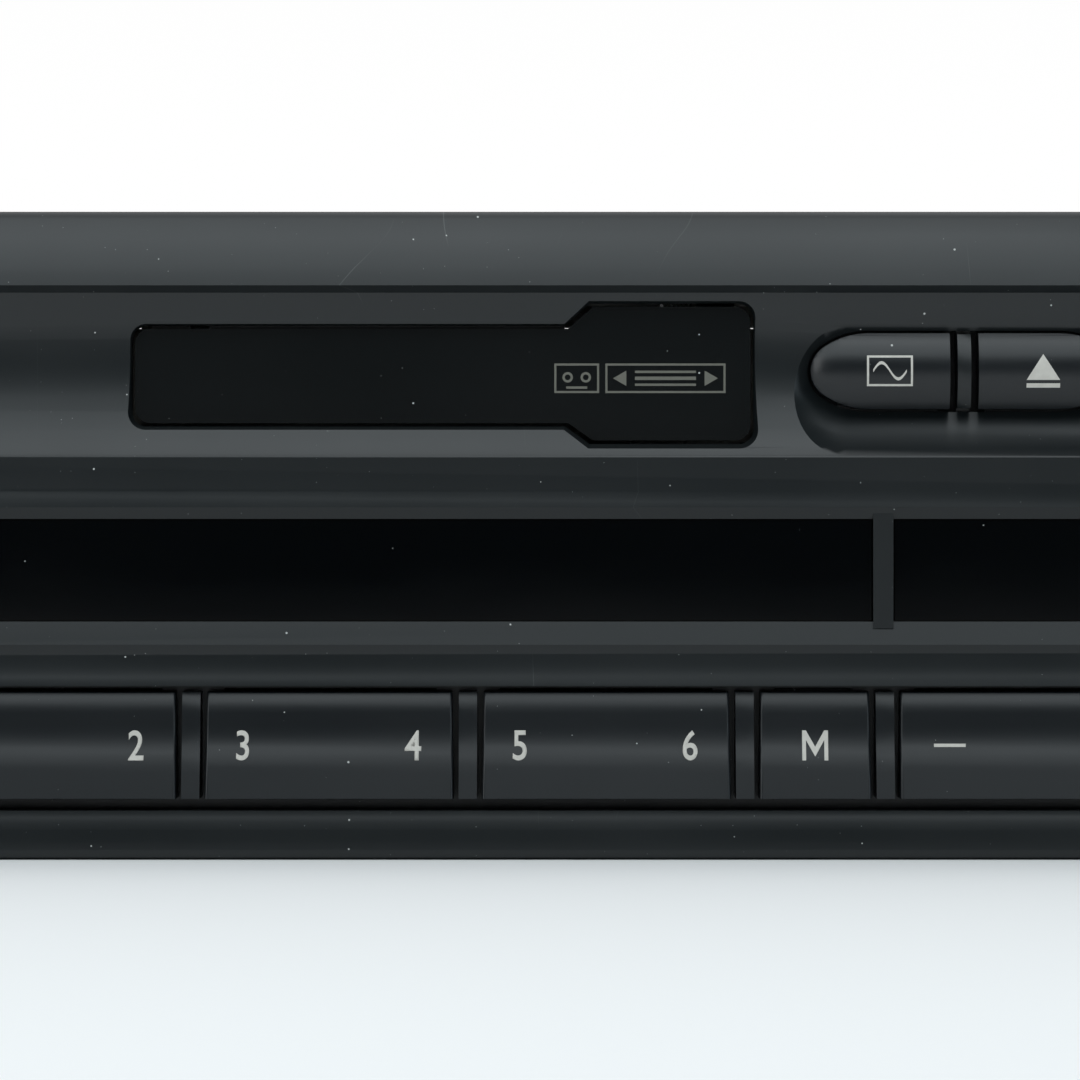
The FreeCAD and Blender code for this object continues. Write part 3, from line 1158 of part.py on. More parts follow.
def flywheel(name, y):
    """A dished flywheel with its capstan pressed in, and the sleeve that drives the idler."""
    top = "(wheel_low + wheel_thick)"
    at = ("capstan_x", y)
    ring = cut(
        name + "_ring", rod(name + "_disc", "z", "wheel_r", "wheel_low", top, at),
        rod(name + "_dish", "z", "wheel_r - wheel_rim", "wheel_low + wheel_web", f"{top} + 1", at))
    named(name, fuse(
        name + "_whole", ring, rod(name + "_hub", "z", "wheel_hub_r", "wheel_low", top, at),
        rod(name + "_capstan", "z", "capstan_r", "wheel_low", "capstan_top", at),
        rod(name + "_sleeve", "z", "sleeve_r", "sleeve_low", "sleeve_high", at)))


def idler(name, y):
    at = ("idler_x", y)
    named(name, cut(
        name + "_ring", rod(name + "_disc", "z", "idler_r", "idler_low", "idler_high", at),
        rod(name + "_bore", "z", "axle_r + bearing_play", "idler_low - 1", "idler_high + 1", at)))


def reel_spindle(name, y):
    """A splined spindle on a flat driven base."""
    at = ("reel_x", y)
    low = f"({DECK_TOP} + reel_lift)"
    base = rod(name + "_base", "z", "reel_base_r", low, f"{low} + reel_base", at)
    stem = rod(name + "_stem", "z", "reel_r - reel_spline", low, "reel_tip", at)
    teeth = []
    for turn in range(3):
        tooth = box(
            name + "_tooth", (0, "reel_r"), ("-reel_spline / 2", "reel_spline / 2"),
            (f"{low} + reel_base", "reel_tip - 1"))
        tooth.Placement = FreeCAD.Placement(V(), FreeCAD.Rotation(V(0, 0, 1), 120 * turn))
        spin = math.radians(120 * turn)
        place(
            tooth, f"{at[0]} + {math.sin(spin):.6f} * reel_spline / 2",
            f"{at[1]} - {math.cos(spin):.6f} * reel_spline / 2", f"{low} + reel_base - 0.1")
        teeth.append(tooth)
    bore = rod(name + "_bore", "z", "axle_r + bearing_play", f"{low} - 1", "reel_tip - 1.2", at)
    named(name, cut(name + "_whole", fuse(name + "_body", base, stem, *teeth), bore))


def deck_motor():
    at = ("motor_x", "motor_y")
    named("deck_motor", rod("motor_can", "z", "motor_r", DECK_TOP, f"{DECK_TOP} + motor_high", at))
    named("motor_pulley", fuse(
        "pulley", rod("pulley_drum", "z", "pulley_r", "wheel_low", "wheel_low + pulley_high", at),
        rod("pulley_shaft", "z", "motor_shaft_r", "wheel_low", DECK_TOP, at)))


def belt_line(wheels):
    """The outline of a belt that runs anticlockwise round wheels given as (x, y, radius)."""
    spans = []
    for (x0, y0, r0), (x1, y1, r1) in zip(wheels, wheels[1:] + wheels[:1]):
        way = V(x1 - x0, y1 - y0, 0)
        lean = math.asin((r0 - r1) / way.Length)
        heading = math.atan2(way.y, way.x)
        off = V(math.cos(heading - math.pi / 2 + lean), math.sin(heading - math.pi / 2 + lean), 0)
        spans.append((V(x0, y0, 0) + off * r0, V(x1, y1, 0) + off * r1))
    edges = []
    for (start, stop), (following, _), (x, y, r) in zip(
        spans, spans[1:] + spans[:1], wheels[1:] + wheels[:1]):
        edges.append(Part.makeLine(start, stop))
        a = math.atan2(stop.y - y, stop.x - x)
        b = math.atan2(following.y - y, following.x - x)
        sweep = (b - a) % (2 * math.pi)
        middle = V(x + r * math.cos(a + sweep / 2), y + r * math.sin(a + sweep / 2), 0)
        edges.append(Part.Arc(stop, middle, following).toShape())
    return Part.Wire(edges)


def drive_belt():
    """The flat belt from the motor's pulley round both flywheels."""
    gap, thick = number("belt_gap"), number("belt_thick")
    wheels = [
        (number("capstan_x"), number(CAPSTANS["front"]), number("wheel_r") + gap),
        (number("motor_x"), number("motor_y"), number("pulley_r") + gap),
        (number("capstan_x"), number(CAPSTANS["rear"]), number("wheel_r") + gap),
    ]
    inner = Part.Face(belt_line(wheels))
    outer = Part.Face(belt_line([(x, y, r + thick) for x, y, r in wheels]))
    loop = outer.cut(inner).extrude(V(0, 0, number("belt_high")))
    loop.translate(V(0, 0, number("belt_low")))
    made = doc.addObject("Part::Feature", "belt_loop")
    made.Shape = loop
    named("drive_belt", made)


def head_parts():
    """The plate that brings the tape head and the pinch rollers in from the right."""
    low = f"({DECK_TOP} + slide_lift)"
    top = f"({low} + slide_thick)"
    plate = box("slide_plate", ("slide_left", "slide_right"), ("slide_front", "slide_back"), (low, top))
    across = ("tape_head_left", "tape_head_left + tape_head_wide")
    deep = ("tape_y - tape_head_deep / 2", "tape_y + tape_head_deep / 2")
    seat = box("head_seat", across, deep, (top, "tape_head_low"))
    pins = []
    for y in ROLLERS.values():
        pins.append(
            rod("roller_pin", "z", "roller_pin_r", low, "roller_low + roller_high + 1", ("roller_x", y)))
        pins.append(rod("roller_boss", "z", "roller_arm / 2", low, "roller_low - 0.2", ("roller_x", y)))
        pins.append(box(
            "roller_arm_plate", ("roller_x", "slide_left + 1"),
            (f"{y} - roller_arm / 2", f"{y} + roller_arm / 2"),
            (low, top)))
    named("head_bracket", fuse("head_slide", plate, seat, *pins))
    named("tape_head", box("head_block", across, deep, ("tape_head_low", "tape_head_low + tape_head_high")))
    for side, y in ROLLERS.items():
        at = ("roller_x", y)
        name = f"pinch_roller_{side}"
        named(name, cut(
            name + "_ring",
            rod(name + "_tyre", "z", "roller_r", "roller_low", "roller_low + roller_high", at),
            rod(name + "_bore", "z", "roller_pin_r + roller_play", "roller_low - 1",
                "roller_low + roller_high + 1", at)))


# ---------------------------------------------------------------- the whole radio

def build():
    fill_sheet()
    front_panel()
    key_guide_frame()
    for name, left in ROCKERS.items():
        rocker(name, left)
    memory_key()
    for middle, left, right in PODS.values():
        pod_key(left, middle, -1)
        pod_key(right, middle, 1)
    pod_guides()
    cassette_door()
    door_spring()
    display()
    for name, x in KNOBS.items():
        knob(name, x)
        encoder(name, x)
    named("volume_plunger", rod(
        "plunger", "y", "plunger_r", out("shaft_back"), out("plunger_back"), (KNOBS["volume"], "knob_z")))
    front_board()
    mounting_frame()
    chassis_tray()
    top_cover()
    screws()
    heat_sink()
    rear_connector()
    back_fittings()
    main_board()
    deck_plate()
    cassette_carriage()
    for side, y in CAPSTANS.items():
        flywheel(f"flywheel_{side}", y)
    for side, y in IDLERS.items():
        idler(f"idler_wheel_{side}", y)
    for side, y in REELS.items():
        reel_spindle(f"reel_spindle_{side}", y)
    deck_motor()
    drive_belt()
    head_parts()
    doc.recompute()


def check_and_export():
    broken = [thing.Name for thing in doc.Objects if {"Invalid", "Error"} & set(thing.State)]
    broken += [label for label, thing in PARTS.items() if thing.Shape.isNull() or not thing.Shape.isValid()]
    if broken:
        raise RuntimeError(f"these failed: {broken}")
    os.makedirs("parts", exist_ok=True)
    for label, thing in PARTS.items():
        thing.Shape.exportStep(f"parts/{label}.step")


build()
check_and_export()
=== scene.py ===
import json
import math

import bmesh
import bpy
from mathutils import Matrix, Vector
from mathutils.bvhtree import BVHTree


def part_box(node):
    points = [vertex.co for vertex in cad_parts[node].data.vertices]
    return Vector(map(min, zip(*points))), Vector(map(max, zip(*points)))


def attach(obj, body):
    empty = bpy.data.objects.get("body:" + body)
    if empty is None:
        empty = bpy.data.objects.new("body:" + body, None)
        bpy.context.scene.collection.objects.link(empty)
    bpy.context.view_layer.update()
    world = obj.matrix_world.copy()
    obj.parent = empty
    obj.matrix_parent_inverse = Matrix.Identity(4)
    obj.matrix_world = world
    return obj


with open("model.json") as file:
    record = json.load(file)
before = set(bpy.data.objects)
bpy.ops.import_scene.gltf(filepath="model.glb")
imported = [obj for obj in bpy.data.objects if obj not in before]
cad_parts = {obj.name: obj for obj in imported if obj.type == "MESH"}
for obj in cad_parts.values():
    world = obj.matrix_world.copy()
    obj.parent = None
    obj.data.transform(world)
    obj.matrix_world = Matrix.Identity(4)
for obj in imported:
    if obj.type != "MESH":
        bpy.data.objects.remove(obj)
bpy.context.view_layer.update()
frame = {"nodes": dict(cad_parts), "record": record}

MM = 0.001
NODES = frame["nodes"]
SLOT_OF = {part["node"]: part["material_slot"] for part in frame["record"]["subparts"]}
BODY_OF = {node: body for body, nodes in frame["record"]["behaviour"]["bodies"].items() for node in nodes}


# ---------------------------------------------------------------- materials

DUST = (0.5, 0.51, 0.5, 1)
GLASS_DUST = (0.32, 0.34, 0.33, 1)
SCRATCH = (0.3, 0.31, 0.31, 1)


def darker(color, share):
    """A colour at a share of its brightness, with its alpha."""
    return (*(channel * share for channel in color[:3]), 1)


class Material:
    """A node material, with short ways to make and join its nodes."""

    def __init__(self, name, color, roughness, **sockets):
        self.material = bpy.data.materials.new(name)
        self.material.use_nodes = True
        self.tree = self.material.node_tree
        self.shader = self.tree.nodes["Principled BSDF"]
        self.shader.inputs["Base Color"].default_value = (*color, 1)
        self.shader.inputs["Roughness"].default_value = roughness
        for socket, value in sockets.items():
            self.shader.inputs[socket.replace("_", " ")].default_value = value
        self.color, self.roughness = (*color, 1), roughness
        where = self.node("ShaderNodeTexCoord")
        self.coordinates, self.outward = where.outputs["Object"], where.outputs["Normal"]
        self.normal = None

    def node(self, kind, inputs=(), **settings):
        """Adds a node: inputs are numbers or other nodes' outputs, and settings are its properties."""
        made = self.tree.nodes.new(kind)
        for key, value in settings.items():
            setattr(made, key, value)
        for key, value in dict(inputs).items():
            if isinstance(value, bpy.types.NodeSocket):
                self.tree.links.new(value, made.inputs[key])
            else:
                made.inputs[key].default_value = value
        return made

    def turned(self, turn, stretch=(1, 1, 1)):
        """The object's coordinates, turned and stretched."""
        inputs = {"Vector": self.coordinates, "Rotation": turn, "Scale": stretch}
        return self.node("ShaderNodeMapping", inputs).outputs[0]

    def noise(self, scale, detail=2.0, stretch=(1, 1, 1)):
        where = self.turned((0, 0, 0), stretch)
        return self.node("ShaderNodeTexNoise", {"Vector": where, "Scale": scale, "Detail": detail}).outputs[0]

    def between(self, value, low, high, to_low=0.0, to_high=1.0):
        """A value that runs from low to high, moved to run from to_low to to_high."""
        limits = {"From Min": low, "From Max": high, "To Min": to_low, "To Max": to_high}
        return self.node("ShaderNodeMapRange", {"Value": value, **limits}).outputs[0]

    def times(self, first, second):
        return self.node("ShaderNodeMath", {0: first, 1: second}, operation="MULTIPLY").outputs[0]

    def blend(self, factor, first, second):
        """The first colour where the factor is 0, and the second where it is 1."""
        mixed = self.node("ShaderNodeMix", {"Factor": factor}, data_type="RGBA")
        for socket, value in ((mixed.inputs[6], first), (mixed.inputs[7], second)):
            if isinstance(value, bpy.types.NodeSocket):
                self.tree.links.new(value, socket)
            else:
                socket.default_value = value
        return mixed.outputs[2]

    def bump(self, height, strength, distance):
        """Adds a relief on top of the ones before it."""
        inputs = {"Height": height, "Strength": strength, "Distance": distance}
        if self.normal:
            inputs["Normal"] = self.normal
        self.normal = self.node("ShaderNodeBump", inputs).outputs[0]

    def finish(self, color=None, roughness=None):
        """Joins what was made to the shader."""
        for socket, value in (("Base Color", color), ("Roughness", roughness), ("Normal", self.normal)):
            if value is not None:
                self.tree.links.new(value, self.shader.inputs[socket])
        return self.material


def specks(m, scale, size, share):
    """A mask of small round grains on what faces forward, in a share of the cells of a grid."""
    facing = m.turned((math.pi / 2, 0, 0))
    cells = m.node("ShaderNodeTexVoronoi", {"Vector": facing, "Scale": scale}, voronoi_dimensions="2D")
    chance = m.node("ShaderNodeSeparateColor", {"Color": cells.outputs["Color"]})
    limit = m.between(chance.outputs[1], 0, 1, size * 0.35, size)
    inside = m.node(
        "ShaderNodeMath", {0: cells.outputs["Distance"], 1: limit}, operation="LESS_THAN").outputs[0]
    chosen = m.node("ShaderNodeMath", {0: chance.outputs[0], 1: share}, operation="LESS_THAN").outputs[0]
    normal = m.node("ShaderNodeSeparateXYZ", {0: m.outward}).outputs["Y"]
    forward = m.node("ShaderNodeMath", {0: normal, 1: -0.6}, operation="LESS_THAN").outputs[0]
    return m.times(m.times(inside, chosen), forward)


def hairlines(m, scale, turn):
    """A mask of a few faint scratches that lean by an angle."""
    where = m.turned((0, turn, 0), (1, 1, 0.05))
    wander = m.node("ShaderNodeTexNoise", {"Vector": where, "Scale": scale, "Detail": 0.0}).outputs[0]
    line = m.between(wander, 0.4985, 0.5015, -1, 1)
    line = m.node("ShaderNodeMath", {0: line}, operation="ABSOLUTE").outputs[0]
    line = m.between(line, 0.0, 0.9, 1, 0)
    broken = m.between(m.noise(scale * 0.6), 0.62, 0.72)
    return m.times(line, broken)


def moulded(name, color, roughness, grain=0.05, dust=0.0, marks=0.0, **sockets):
    """Satin moulded plastic: slow changes of sheen, a fine grain, and the dust and hairlines of use."""
    m = Material(name, color, roughness, **sockets)
    slow = m.noise(45, 3)
    handled = m.between(slow, 0.3, 0.7, roughness * 0.93, roughness * 1.08)
    tint = m.blend(m.between(m.noise(20), 0.35, 0.65), darker(color, 0.94), m.color)
    m.bump(m.noise(2600, 2), grain, 0.00004)
    if dust:
        grit = specks(m, scale=300, size=0.034, share=dust)
        fine = specks(m, scale=900, size=0.04, share=dust * 0.6)
        tint = m.blend(grit, tint, DUST)
        tint = m.blend(m.times(fine, 0.6), tint, DUST)
    if marks:
        for scale, turn in ((90, 0.08), (70, -0.15)):
            scratch = m.times(hairlines(m, scale, turn), marks)
            tint = m.blend(scratch, tint, SCRATCH)
    return m.finish(tint, handled)


def sheet_steel(name, color, roughness):
    """Zinc-plated sheet: cloudy spangle and faint rolling lines."""
    m = Material(name, color, roughness, Metallic=1.0)
    spangle = m.node("ShaderNodeTexVoronoi", {"Vector": m.coordinates, "Scale": 160.0}).outputs["Color"]
    grey = m.node("ShaderNodeSeparateColor", {"Color": spangle}).outputs[0]
    tint = m.blend(m.between(grey, 0, 1, 0, 0.35), m.color, darker(color, 0.72))
    m.bump(m.noise(700, 2, (1, 12, 1)), 0.06, 0.00004)
    return m.finish(tint, m.between(m.noise(60, 3), 0.3, 0.7, roughness * 0.8, roughness * 1.25))


def turned_metal(name, color, roughness, metallic=1.0):
    """Machined metal with fine tool marks."""
    m = Material(name, color, roughness, Metallic=metallic)
    m.bump(m.noise(1800, 2, (1, 1, 9)), 0.05, 0.00003)
    tint = m.blend(m.noise(80, 3), m.color, darker(color, 0.85))
    return m.finish(tint, m.between(m.noise(120, 2), 0.3, 0.7, roughness * 0.8, roughness * 1.2))


def circuit_board(name, color):
    """Green solder mask with darker traces under it."""
    m = Material(name, color, 0.35)
    brick = m.node(
        "ShaderNodeTexBrick", {"Vector": m.coordinates, "Scale": 220.0, "Mortar Size": 0.06},
        offset=0.35, squash=0.6)
    tint = m.blend(brick.outputs["Fac"], darker(color, 0.7), m.color)
    m.bump(brick.outputs["Fac"], 0.2, 0.00005)
    return m.finish(tint, m.between(m.noise(100), 0.3, 0.7, 0.3, 0.42))


def legend_ink(name, color):
    """Screen-printed ink, very slightly uneven."""
    m = Material(name, color, 0.55)
    tint = m.blend(m.between(m.noise(1500, 3), 0.35, 0.75), m.color, darker(color, 0.9))
    m.bump(m.noise(5000, 1), 0.03, 0.00002)
    return m.finish(tint)


def smoked_glass(name):
    """The display's smoked window: nearly black, with a high gloss."""
    m = Material(name, (0.0006, 0.0013, 0.0018), 0.04, Specular_IOR_Level=0.4)
    wipe = m.between(m.noise(26, 4, (1, 1, 2.5)), 0.35, 0.75, 0.02, 0.07)
    grit = specks(m, scale=260, size=0.02, share=0.06)
    tint = m.blend(grit, m.color, GLASS_DUST)
    m.bump(m.noise(35, 1), 0.01, 0.0002)
    return m.finish(tint, wipe)


MATERIALS = {
    "panel_plastic": moulded("panel_plastic", (0.0064, 0.0092, 0.0104), 0.34, dust=0.09, marks=0.25),
    "key_plastic": moulded("key_plastic", (0.0062, 0.0084, 0.0103), 0.32, dust=0.04),
    "knob_plastic": moulded("knob_plastic", (0.0072, 0.0098, 0.0118), 0.36, dust=0.04),
    "door_plastic": moulded(
        "door_plastic", (0.0028, 0.0042, 0.0046), 0.2, grain=0.02, dust=0.03, Specular_IOR_Level=0.4),
    "smoked_window": smoked_glass("smoked_window"),
    "display_glass": moulded("display_glass", (0.05, 0.06, 0.05), 0.1, grain=0.01),
    "white_plastic": moulded("white_plastic", (0.72, 0.72, 0.68), 0.4),
    "black_plastic": moulded("black_plastic", (0.015, 0.015, 0.016), 0.42),
    "board": circuit_board("board", (0.02, 0.11, 0.045)),
    "zinc_steel": sheet_steel("zinc_steel", (0.52, 0.52, 0.50), 0.36),
    "dark_steel": turned_metal("dark_steel", (0.18, 0.18, 0.19), 0.35),
    "polished_steel": turned_metal("polished_steel", (0.62, 0.62, 0.63), 0.2),
    "sink_aluminium": turned_metal("sink_aluminium", (0.02, 0.02, 0.021), 0.42, 0.6),
    "flywheel_brass": turned_metal("flywheel_brass", (0.60, 0.42, 0.16), 0.28),
    "rubber": moulded("rubber", (0.018, 0.018, 0.018), 0.75, grain=0.2),
    "fuse_plastic": moulded("fuse_plastic", (0.35, 0.07, 0.025), 0.22),
    "capacitor_sleeve": moulded("capacitor_sleeve", (0.012, 0.018, 0.06), 0.25),
    "cable_film": moulded("cable_film", (0.66, 0.66, 0.62), 0.35),
}
INK = legend_ink("legend_ink", (0.62, 0.60, 0.55))
DIM_INK = legend_ink("dim_ink", (0.15, 0.15, 0.125))


def dress_the_frame():
    """Gives each node the material of its slot."""
    for node, thing in NODES.items():
        thing.data.materials.clear()
        thing.data.materials.append(MATERIALS[SLOT_OF[node]])


# ---------------------------------------------------------------- smooth surfaces and soft edges

SHARP = 24
EDGE = 0.25
EDGE_ANGLE = 35
ROUNDED = {
    "front_panel", "preset_rocker_1_2", "preset_rocker_3_4", "preset_rocker_5_6", "seek_rocker", "memory_key",
    "fm_key", "am_key", "noise_filter_key", "eject_key", "clock_key", "menu_key", "volume_knob", "tune_knob",
}


def smooth_group():
    """Shades every face smooth and keeps the edges above a given angle sharp."""
    group = bpy.data.node_groups.new("smooth_by_angle", "GeometryNodeTree")
    group.interface.new_socket("Geometry", in_out="INPUT", socket_type="NodeSocketGeometry")
    group.interface.new_socket("Geometry", in_out="OUTPUT", socket_type="NodeSocketGeometry")
    nodes, links = group.nodes, group.links
    start, end = nodes.new("NodeGroupInput"), nodes.new("NodeGroupOutput")
    faces, edges = nodes.new("GeometryNodeSetShadeSmooth"), nodes.new("GeometryNodeSetShadeSmooth")
    faces.domain, edges.domain = "FACE", "EDGE"
    edges.inputs["Shade Smooth"].default_value = False
    angle, sharp = nodes.new("GeometryNodeInputMeshEdgeAngle"), nodes.new("FunctionNodeCompare")
    sharp.operation = "GREATER_THAN"
    sharp.inputs[1].default_value = math.radians(SHARP)
    links.new(start.outputs[0], faces.inputs["Geometry"])
    links.new(faces.outputs[0], edges.inputs["Geometry"])
    links.new(angle.outputs["Unsigned Angle"], sharp.inputs[0])
    links.new(sharp.outputs[0], edges.inputs["Selection"])
    links.new(edges.outputs[0], end.inputs[0])
    return group


def smooth_the_frame():
    """Welds each CAD mesh, rounds the visible plastic's edges a little, and shades it by angle."""
    group = smooth_group()
    for node, thing in NODES.items():
        weld = thing.modifiers.new("weld", "WELD")
        weld.merge_threshold = 0.001 * MM
        if node in ROUNDED:
            bevel = thing.modifiers.new("round", "BEVEL")
            bevel.width = EDGE * MM
            bevel.segments = 2
            bevel.limit_method = "ANGLE"
            bevel.angle_limit = math.radians(EDGE_ANGLE)
            bevel.harden_normals = False
        by_angle = thing.modifiers.new("smooth", "NODES")
        by_angle.node_group = group
        flat = thing.modifiers.new("flat", "WEIGHTED_NORMAL")
        flat.keep_sharp = True


# ---------------------------------------------------------------- printed legends

LIFT = 0.012 * MM
THICK = 0.02 * MM
CUT = 0.3 * MM
IN_FRONT = -0.2


def surface_of(node):
    """A node's mesh, ready for rays to be cast on it."""
    thing = NODES[node]
    return BVHTree.FromPolygons(
        [v.co.copy() for v in thing.data.vertices], [list(p.vertices) for p in thing.data.polygons])


def legend(name, node, polygons, at, ink):
    """Prints flat polygons, in millimetres about their centre, on the front of a node at (x, z)."""
    bm = bmesh.new()
    for polygon in polygons:
        bm.faces.new([bm.verts.new((x * MM + at[0], 0, z * MM + at[1])) for x, z in polygon])
    print_on(name, node, bm, ink)


def letter(name, node, text, height, at, narrow, ink):
    """Prints a character of a given height on the front of a node at (x, z)."""
    curve = bpy.data.curves.new(name + "_curve", "FONT")
    curve.body = text
    curve.align_x = "CENTER"
    curve.resolution_u = 6
    curve.offset = BOLD
    probe = bpy.data.objects.new(name + "_curve", curve)
    bpy.context.scene.collection.objects.link(probe)
    bpy.context.view_layer.update()
    mesh = bpy.data.meshes.new_from_object(probe.evaluated_get(bpy.context.evaluated_depsgraph_get()))
    bpy.data.objects.remove(probe)
    xs = [v.co.x for v in mesh.vertices]
    ys = [v.co.y for v in mesh.vertices]
    grow = height * MM / (max(ys) - min(ys))
    middle = ((max(xs) + min(xs)) / 2, (max(ys) + min(ys)) / 2)
    bm = bmesh.new()
    bm.from_mesh(mesh)
    for v in bm.verts:
        v.co = Vector((
            (v.co.x - middle[0]) * grow * narrow + at[0], 0, (v.co.y - middle[1]) * grow + at[1]))
    bpy.data.meshes.remove(mesh)
    print_on(name, node, bm, ink)


def print_on(name, node, bm, ink):
    """Cuts a flat mesh finely, lays it on the front of a node, and gives it the ink's thickness."""
    for axis in (0, 2):
        low = min(v.co[axis] for v in bm.verts)
        high = max(v.co[axis] for v in bm.verts)
        for i in range(1, int((high - low) / CUT) + 1):
            point = Vector((0, 0, 0))
            point[axis] = low + i * CUT
            normal = Vector((0, 0, 0))
            normal[axis] = 1
            geometry = bm.verts[:] + bm.edges[:] + bm.faces[:]
            bmesh.ops.bisect_plane(bm, geom=geometry, plane_co=point, plane_no=normal)
    bmesh.ops.remove_doubles(bm, verts=bm.verts, dist=1e-7)
    tree = surface_of(node)
    for v in bm.verts:
        hit = tree.ray_cast(Vector((v.co.x, IN_FRONT, v.co.z)), Vector((0, 1, 0)))[0]
        v.co.y = hit.y - LIFT
    for face in bm.faces:
        face.normal_update()
        if face.normal.y > 0:
            face.normal_flip()
    mesh = bpy.data.meshes.new(name)
    bm.to_mesh(mesh)
    bm.free()
    mesh.materials.append(ink)
    made = bpy.data.objects.new(name, mesh)
    bpy.context.scene.collection.objects.link(made)
    thick = made.modifiers.new("ink", "SOLIDIFY")
    thick.thickness = THICK
    thick.offset = 1
    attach(made, BODY_OF[node])
    return made


def bar(x0, z0, x1, z1):
    """A rectangle between two corners."""
    return [(x0, z0), (x1, z0), (x1, z1), (x0, z1)]


def frame_bars(half_x, half_z, line):
    """The four bars of a rectangle's outline."""
    return [
        bar(-half_x, half_z - line, half_x, half_z), bar(-half_x, -half_z, half_x, line - half_z),
        bar(-half_x, line - half_z, line - half_x, half_z - line),
        bar(half_x - line, line - half_z, half_x, half_z - line),
    ]


def shifted(polygons, x, z=0.0):
    """The same polygons, moved."""
    return [[(a + x, b + z) for a, b in polygon] for polygon in polygons]


def ring(outer, inner, start=0, turn=360, sides=32):
    """A ring, or part of one, as short quads."""
    quads = []
    steps = max(2, round(sides * turn / 360))
    for i in range(steps):
        a, b = (math.radians(start + turn * (i + k) / steps) for k in (0, 1))
        quads.append([
            (outer * math.cos(a), outer * math.sin(a)), (outer * math.cos(b), outer * math.sin(b)),
            (inner * math.cos(b), inner * math.sin(b)), (inner * math.cos(a), inner * math.sin(a))])
    return quads


def wave(half_x, height, line, steps=16):
    """A ribbon along one period of a sine."""
    quads = []
    for i in range(steps):
        (x0, z0), (x1, z1) = (
            (half_x * (2 * t / steps - 1), height * math.sin(2 * math.pi * t / steps)) for t in (i, i + 1))
        quads.append([(x0, z0 - line), (x1, z1 - line), (x1, z1 + line), (x0, z0 + line)])
    return quads


def key_spot(node, from_left=None, from_right=None):
    """The X of a spot on a key, measured in millimetres from one of its ends."""
    low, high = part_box(node)
    return low.x + from_left * MM if from_left is not None else high.x - from_right * MM


PRESETS = {"preset_rocker_1_2": "12", "preset_rocker_3_4": "34", "preset_rocker_5_6": "56"}
ROW_Z = 11.75 * MM
DIGIT = 3.1
NARROW = 0.82
BOLD = 0.012
STROKE = 0.17
ARM = 1.65
SIGN_IN = 5.2


def key_row_legends():
    """Digits on the preset rockers, an M, and the seek rocker's minus and plus."""
    for node, digits in PRESETS.items():
        ends = (key_spot(node, from_left=3.9), key_spot(node, from_right=4.2))
        for digit, x in zip(digits, ends):
            letter(f"legend_{digit}", node, digit, DIGIT, (x, ROW_Z), NARROW, INK)
    low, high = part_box("memory_key")
    inner, outer, half = 0.95, 1.35, DIGIT / 2
    slopes = [[(side * inner, half), (side * inner, half - 1), (0, -1.15), (0, -0.15)] for side in (-1, 1)]
    letter_m = [bar(-outer, -half, -inner, half), bar(inner, -half, outer, half), *slopes]
    legend("legend_memory", "memory_key", letter_m, ((low.x + high.x) / 2, ROW_Z), INK)
    minus = [bar(-ARM, -STROKE, ARM, STROKE)]
    plus = [*minus, bar(-STROKE, STROKE, STROKE, ARM), bar(-STROKE, -ARM, STROKE, -STROKE)]
    legend("legend_minus", "seek_rocker", minus, (key_spot("seek_rocker", from_left=SIGN_IN), ROW_Z), INK)
    legend("legend_plus", "seek_rocker", plus, (key_spot("seek_rocker", from_right=SIGN_IN), ROW_Z), INK)


POD_Z = 50.75 * MM


def pod_legends():
    """Plain symbols on the pods' keys, and the letters of the two wave bands."""
    eject = [[(-1.75, -0.95), (1.75, -0.95), (0, 1.75)], bar(-1.75, -1.75, 1.75, -1.3)]
    hush = [*frame_bars(2.4, 1.6, 0.22), *wave(1.75, 0.85, 0.16)]
    clock = [*ring(1.7, 1.4), bar(-0.12, -0.1, 0.12, 1.05), bar(0.12, -0.12, 0.85, 0.12)]
    menu = [bar(-1.7, z, 1.7, z + 0.34) for z in (-1.4, -0.17, 1.06)]
    for node, icon, x in (
        ("noise_filter_key", hush, key_spot("noise_filter_key", 8.2)),
        ("eject_key", eject, key_spot("eject_key", 6.7)),
        ("clock_key", clock, key_spot("clock_key", 8.0)),
        ("menu_key", menu, key_spot("menu_key", 6.5)),
    ):
        legend(node + "_icon", node, icon, (x, POD_Z), INK)
    for node, text, x in (("fm_key", "FM", 8.2), ("am_key", "AM", 6.3)):
        letter(node + "_icon", node, text, 2.4, (key_spot(node, x), POD_Z), 0.85, INK)


def door_print():
    """A small cassette and a box of arrows, printed dimly on the flap."""
    reel = shifted(ring(0.55, 0.3), -0.95, 0.1) + shifted(ring(0.55, 0.3), 0.95, 0.1)
    cassette = [*frame_bars(2.35, 1.55, 0.22), *reel, bar(-1.1, -1.1, 1.1, -0.85)]
    left_arrow = [[(-0.9, 0), (0.5, -0.8), (0.5, 0.8)]]
    right_arrow = [[(0.9, 0), (-0.5, 0.8), (-0.5, -0.8)]]
    arrows = [
        *frame_bars(6.3, 1.55, 0.22), *shifted(left_arrow, -4.6), *shifted(right_arrow, 4.6),
        bar(-3.2, -0.18, 3.2, 0.18), bar(-3.2, 0.55, 3.2, 0.8), bar(-3.2, -0.8, 3.2, -0.55),
    ]
    low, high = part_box("cassette_door")
    z = 50.05 * MM
    legend("door_cassette_icon", "cassette_door", cassette, (high.x - 18.2 * MM, z), DIM_INK)
    legend("door_arrows_icon", "cassette_door", arrows, (high.x - 8.9 * MM, z), DIM_INK)


MARK_UP = 9.35 * MM


def knob_marks():
    """A white bar in the groove at the top of each knob's face."""
    for node in ("volume_knob", "tune_knob"):
        low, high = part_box(node)
        x, z = (low.x + high.x) / 2, (low.z + high.z) / 2
        legend(node + "_mark", node, [bar(-0.35, -2.2, 0.35, 2.2)], (x, z + MARK_UP), INK)


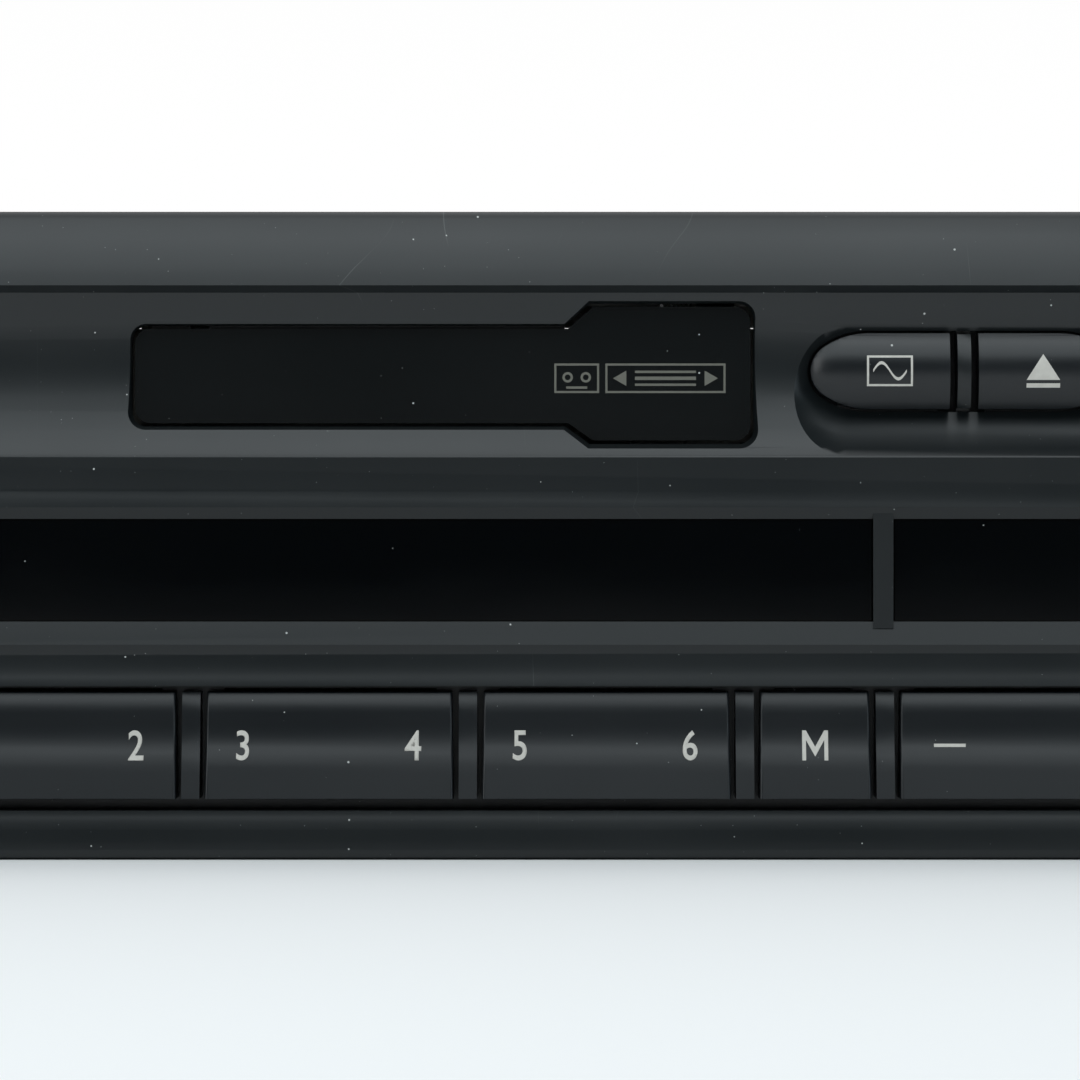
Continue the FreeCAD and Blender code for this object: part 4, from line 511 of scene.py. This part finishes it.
# ---------------------------------------------------------------- the studio

PALE = (0.88, 0.88, 0.88)
# Painted shade: the dark grey that the floor paper turns to far in front of the radio.
FAR_FLOOR_SHADE = (0.3, 0.3, 0.3, 1)


def area_light(name, at, towards, size, power, color):
    """A soft rectangular light at a place, facing another."""
    light = bpy.data.lights.new(name, "AREA")
    light.shape = "RECTANGLE"
    light.size, light.size_y = size
    light.energy = power
    light.color = color
    lamp = bpy.data.objects.new(name, light)
    lamp.location = at
    lamp.rotation_euler = (Vector(towards) - Vector(at)).to_track_quat("-Z", "Y").to_euler()
    bpy.context.scene.collection.objects.link(lamp)


def ramp(tree, value, start, stop, low, high):
    """A smooth change from low, where a value is at start, to high, where it is at stop."""
    change = tree.nodes.new("ShaderNodeMapRange")
    change.interpolation_type = "SMOOTHSTEP"
    for socket, number in (("From Min", start), ("From Max", stop), ("To Min", low), ("To Max", high)):
        change.inputs[socket].default_value = number
    tree.links.new(value, change.inputs["Value"])
    return change.outputs[0]


def surroundings():
    """A white room behind the radio that darkens overhead and in front of it."""
    world = bpy.data.worlds.new("studio")
    bpy.context.scene.world = world
    world.use_nodes = True
    tree = world.node_tree
    where = tree.nodes.new("ShaderNodeTexCoord")
    split = tree.nodes.new("ShaderNodeSeparateXYZ")
    strength = tree.nodes.new("ShaderNodeMath")
    strength.operation = "MULTIPLY"
    tree.links.new(where.outputs["Generated"], split.inputs[0])
    tree.links.new(ramp(tree, split.outputs["Y"], -0.35, 0.25, 0.03, 1.0), strength.inputs[0])
    tree.links.new(ramp(tree, split.outputs["Z"], 0.05, 0.5, 1.0, 0.45), strength.inputs[1])
    tree.links.new(strength.outputs[0], tree.nodes["Background"].inputs["Strength"])
    tree.nodes["Background"].inputs["Color"].default_value = (1, 1, 1, 1)


def studio():
    """A pale floor with painted shade far in front of the radio, the room, and four soft lights."""
    bpy.ops.mesh.primitive_plane_add(size=8, location=(0, 0, -0.1 * MM))
    floor = bpy.context.object
    floor.name = "floor"
    paper = Material("paper", PALE, 0.8, Specular_IOR_Level=0.0)
    # Painted shade: the paper's colour runs from pale near the radio to dark grey far in front of it.
    along = paper.node("ShaderNodeSeparateXYZ", {0: paper.coordinates}).outputs["Y"]
    near = paper.between(along, -2.3, -1.7)
    paper.bump(paper.noise(400, 2), 0.03, 0.0001)
    floor.data.materials.append(paper.finish(paper.blend(near, FAR_FLOOR_SHADE, paper.color)))
    surroundings()
    area_light("overhead", (-0.08, -0.50, 0.58), (0, -0.07, 0.03), (1.3, 0.55), 4.2, (0.88, 0.965, 1.0))
    area_light("ceiling", (0.02, -0.03, 0.85), (0, -0.03, 0), (1.2, 0.5), 1.7, (0.92, 0.97, 1.0))
    area_light("right_fill", (0.62, -0.52, 0.16), (0.03, -0.07, 0.04), (0.25, 0.22), 0.5, (0.75, 0.9, 1.0))
    area_light("left_strip", (-0.70, -0.40, 0.26), (0, -0.07, 0.04), (0.2, 0.4), 0.8, (0.95, 0.98, 1.0))


PANEL_FRONT = -0.079
DISTANCE = 0.7
SENSOR = 36
VIEW_WIDTH = 112.5 * MM
VIEW_HEIGHT_Z = 33.1 * MM


def camera():
    """A long lens, level and square to the middle of the panel."""
    data = bpy.data.cameras.new("camera")
    data.sensor_width = SENSOR
    data.lens = data.sensor_width * DISTANCE / VIEW_WIDTH
    data.clip_start = 0.01
    thing = bpy.data.objects.new("camera", data)
    thing.location = (0, PANEL_FRONT - DISTANCE, VIEW_HEIGHT_Z)
    thing.rotation_euler = (math.pi / 2, 0, 0)
    bpy.context.scene.collection.objects.link(thing)
    bpy.context.scene.camera = thing


dress_the_frame()
smooth_the_frame()
key_row_legends()
pod_legends()
door_print()
knob_marks()
studio()
camera()
bpy.context.scene.view_settings.view_transform = "Standard"
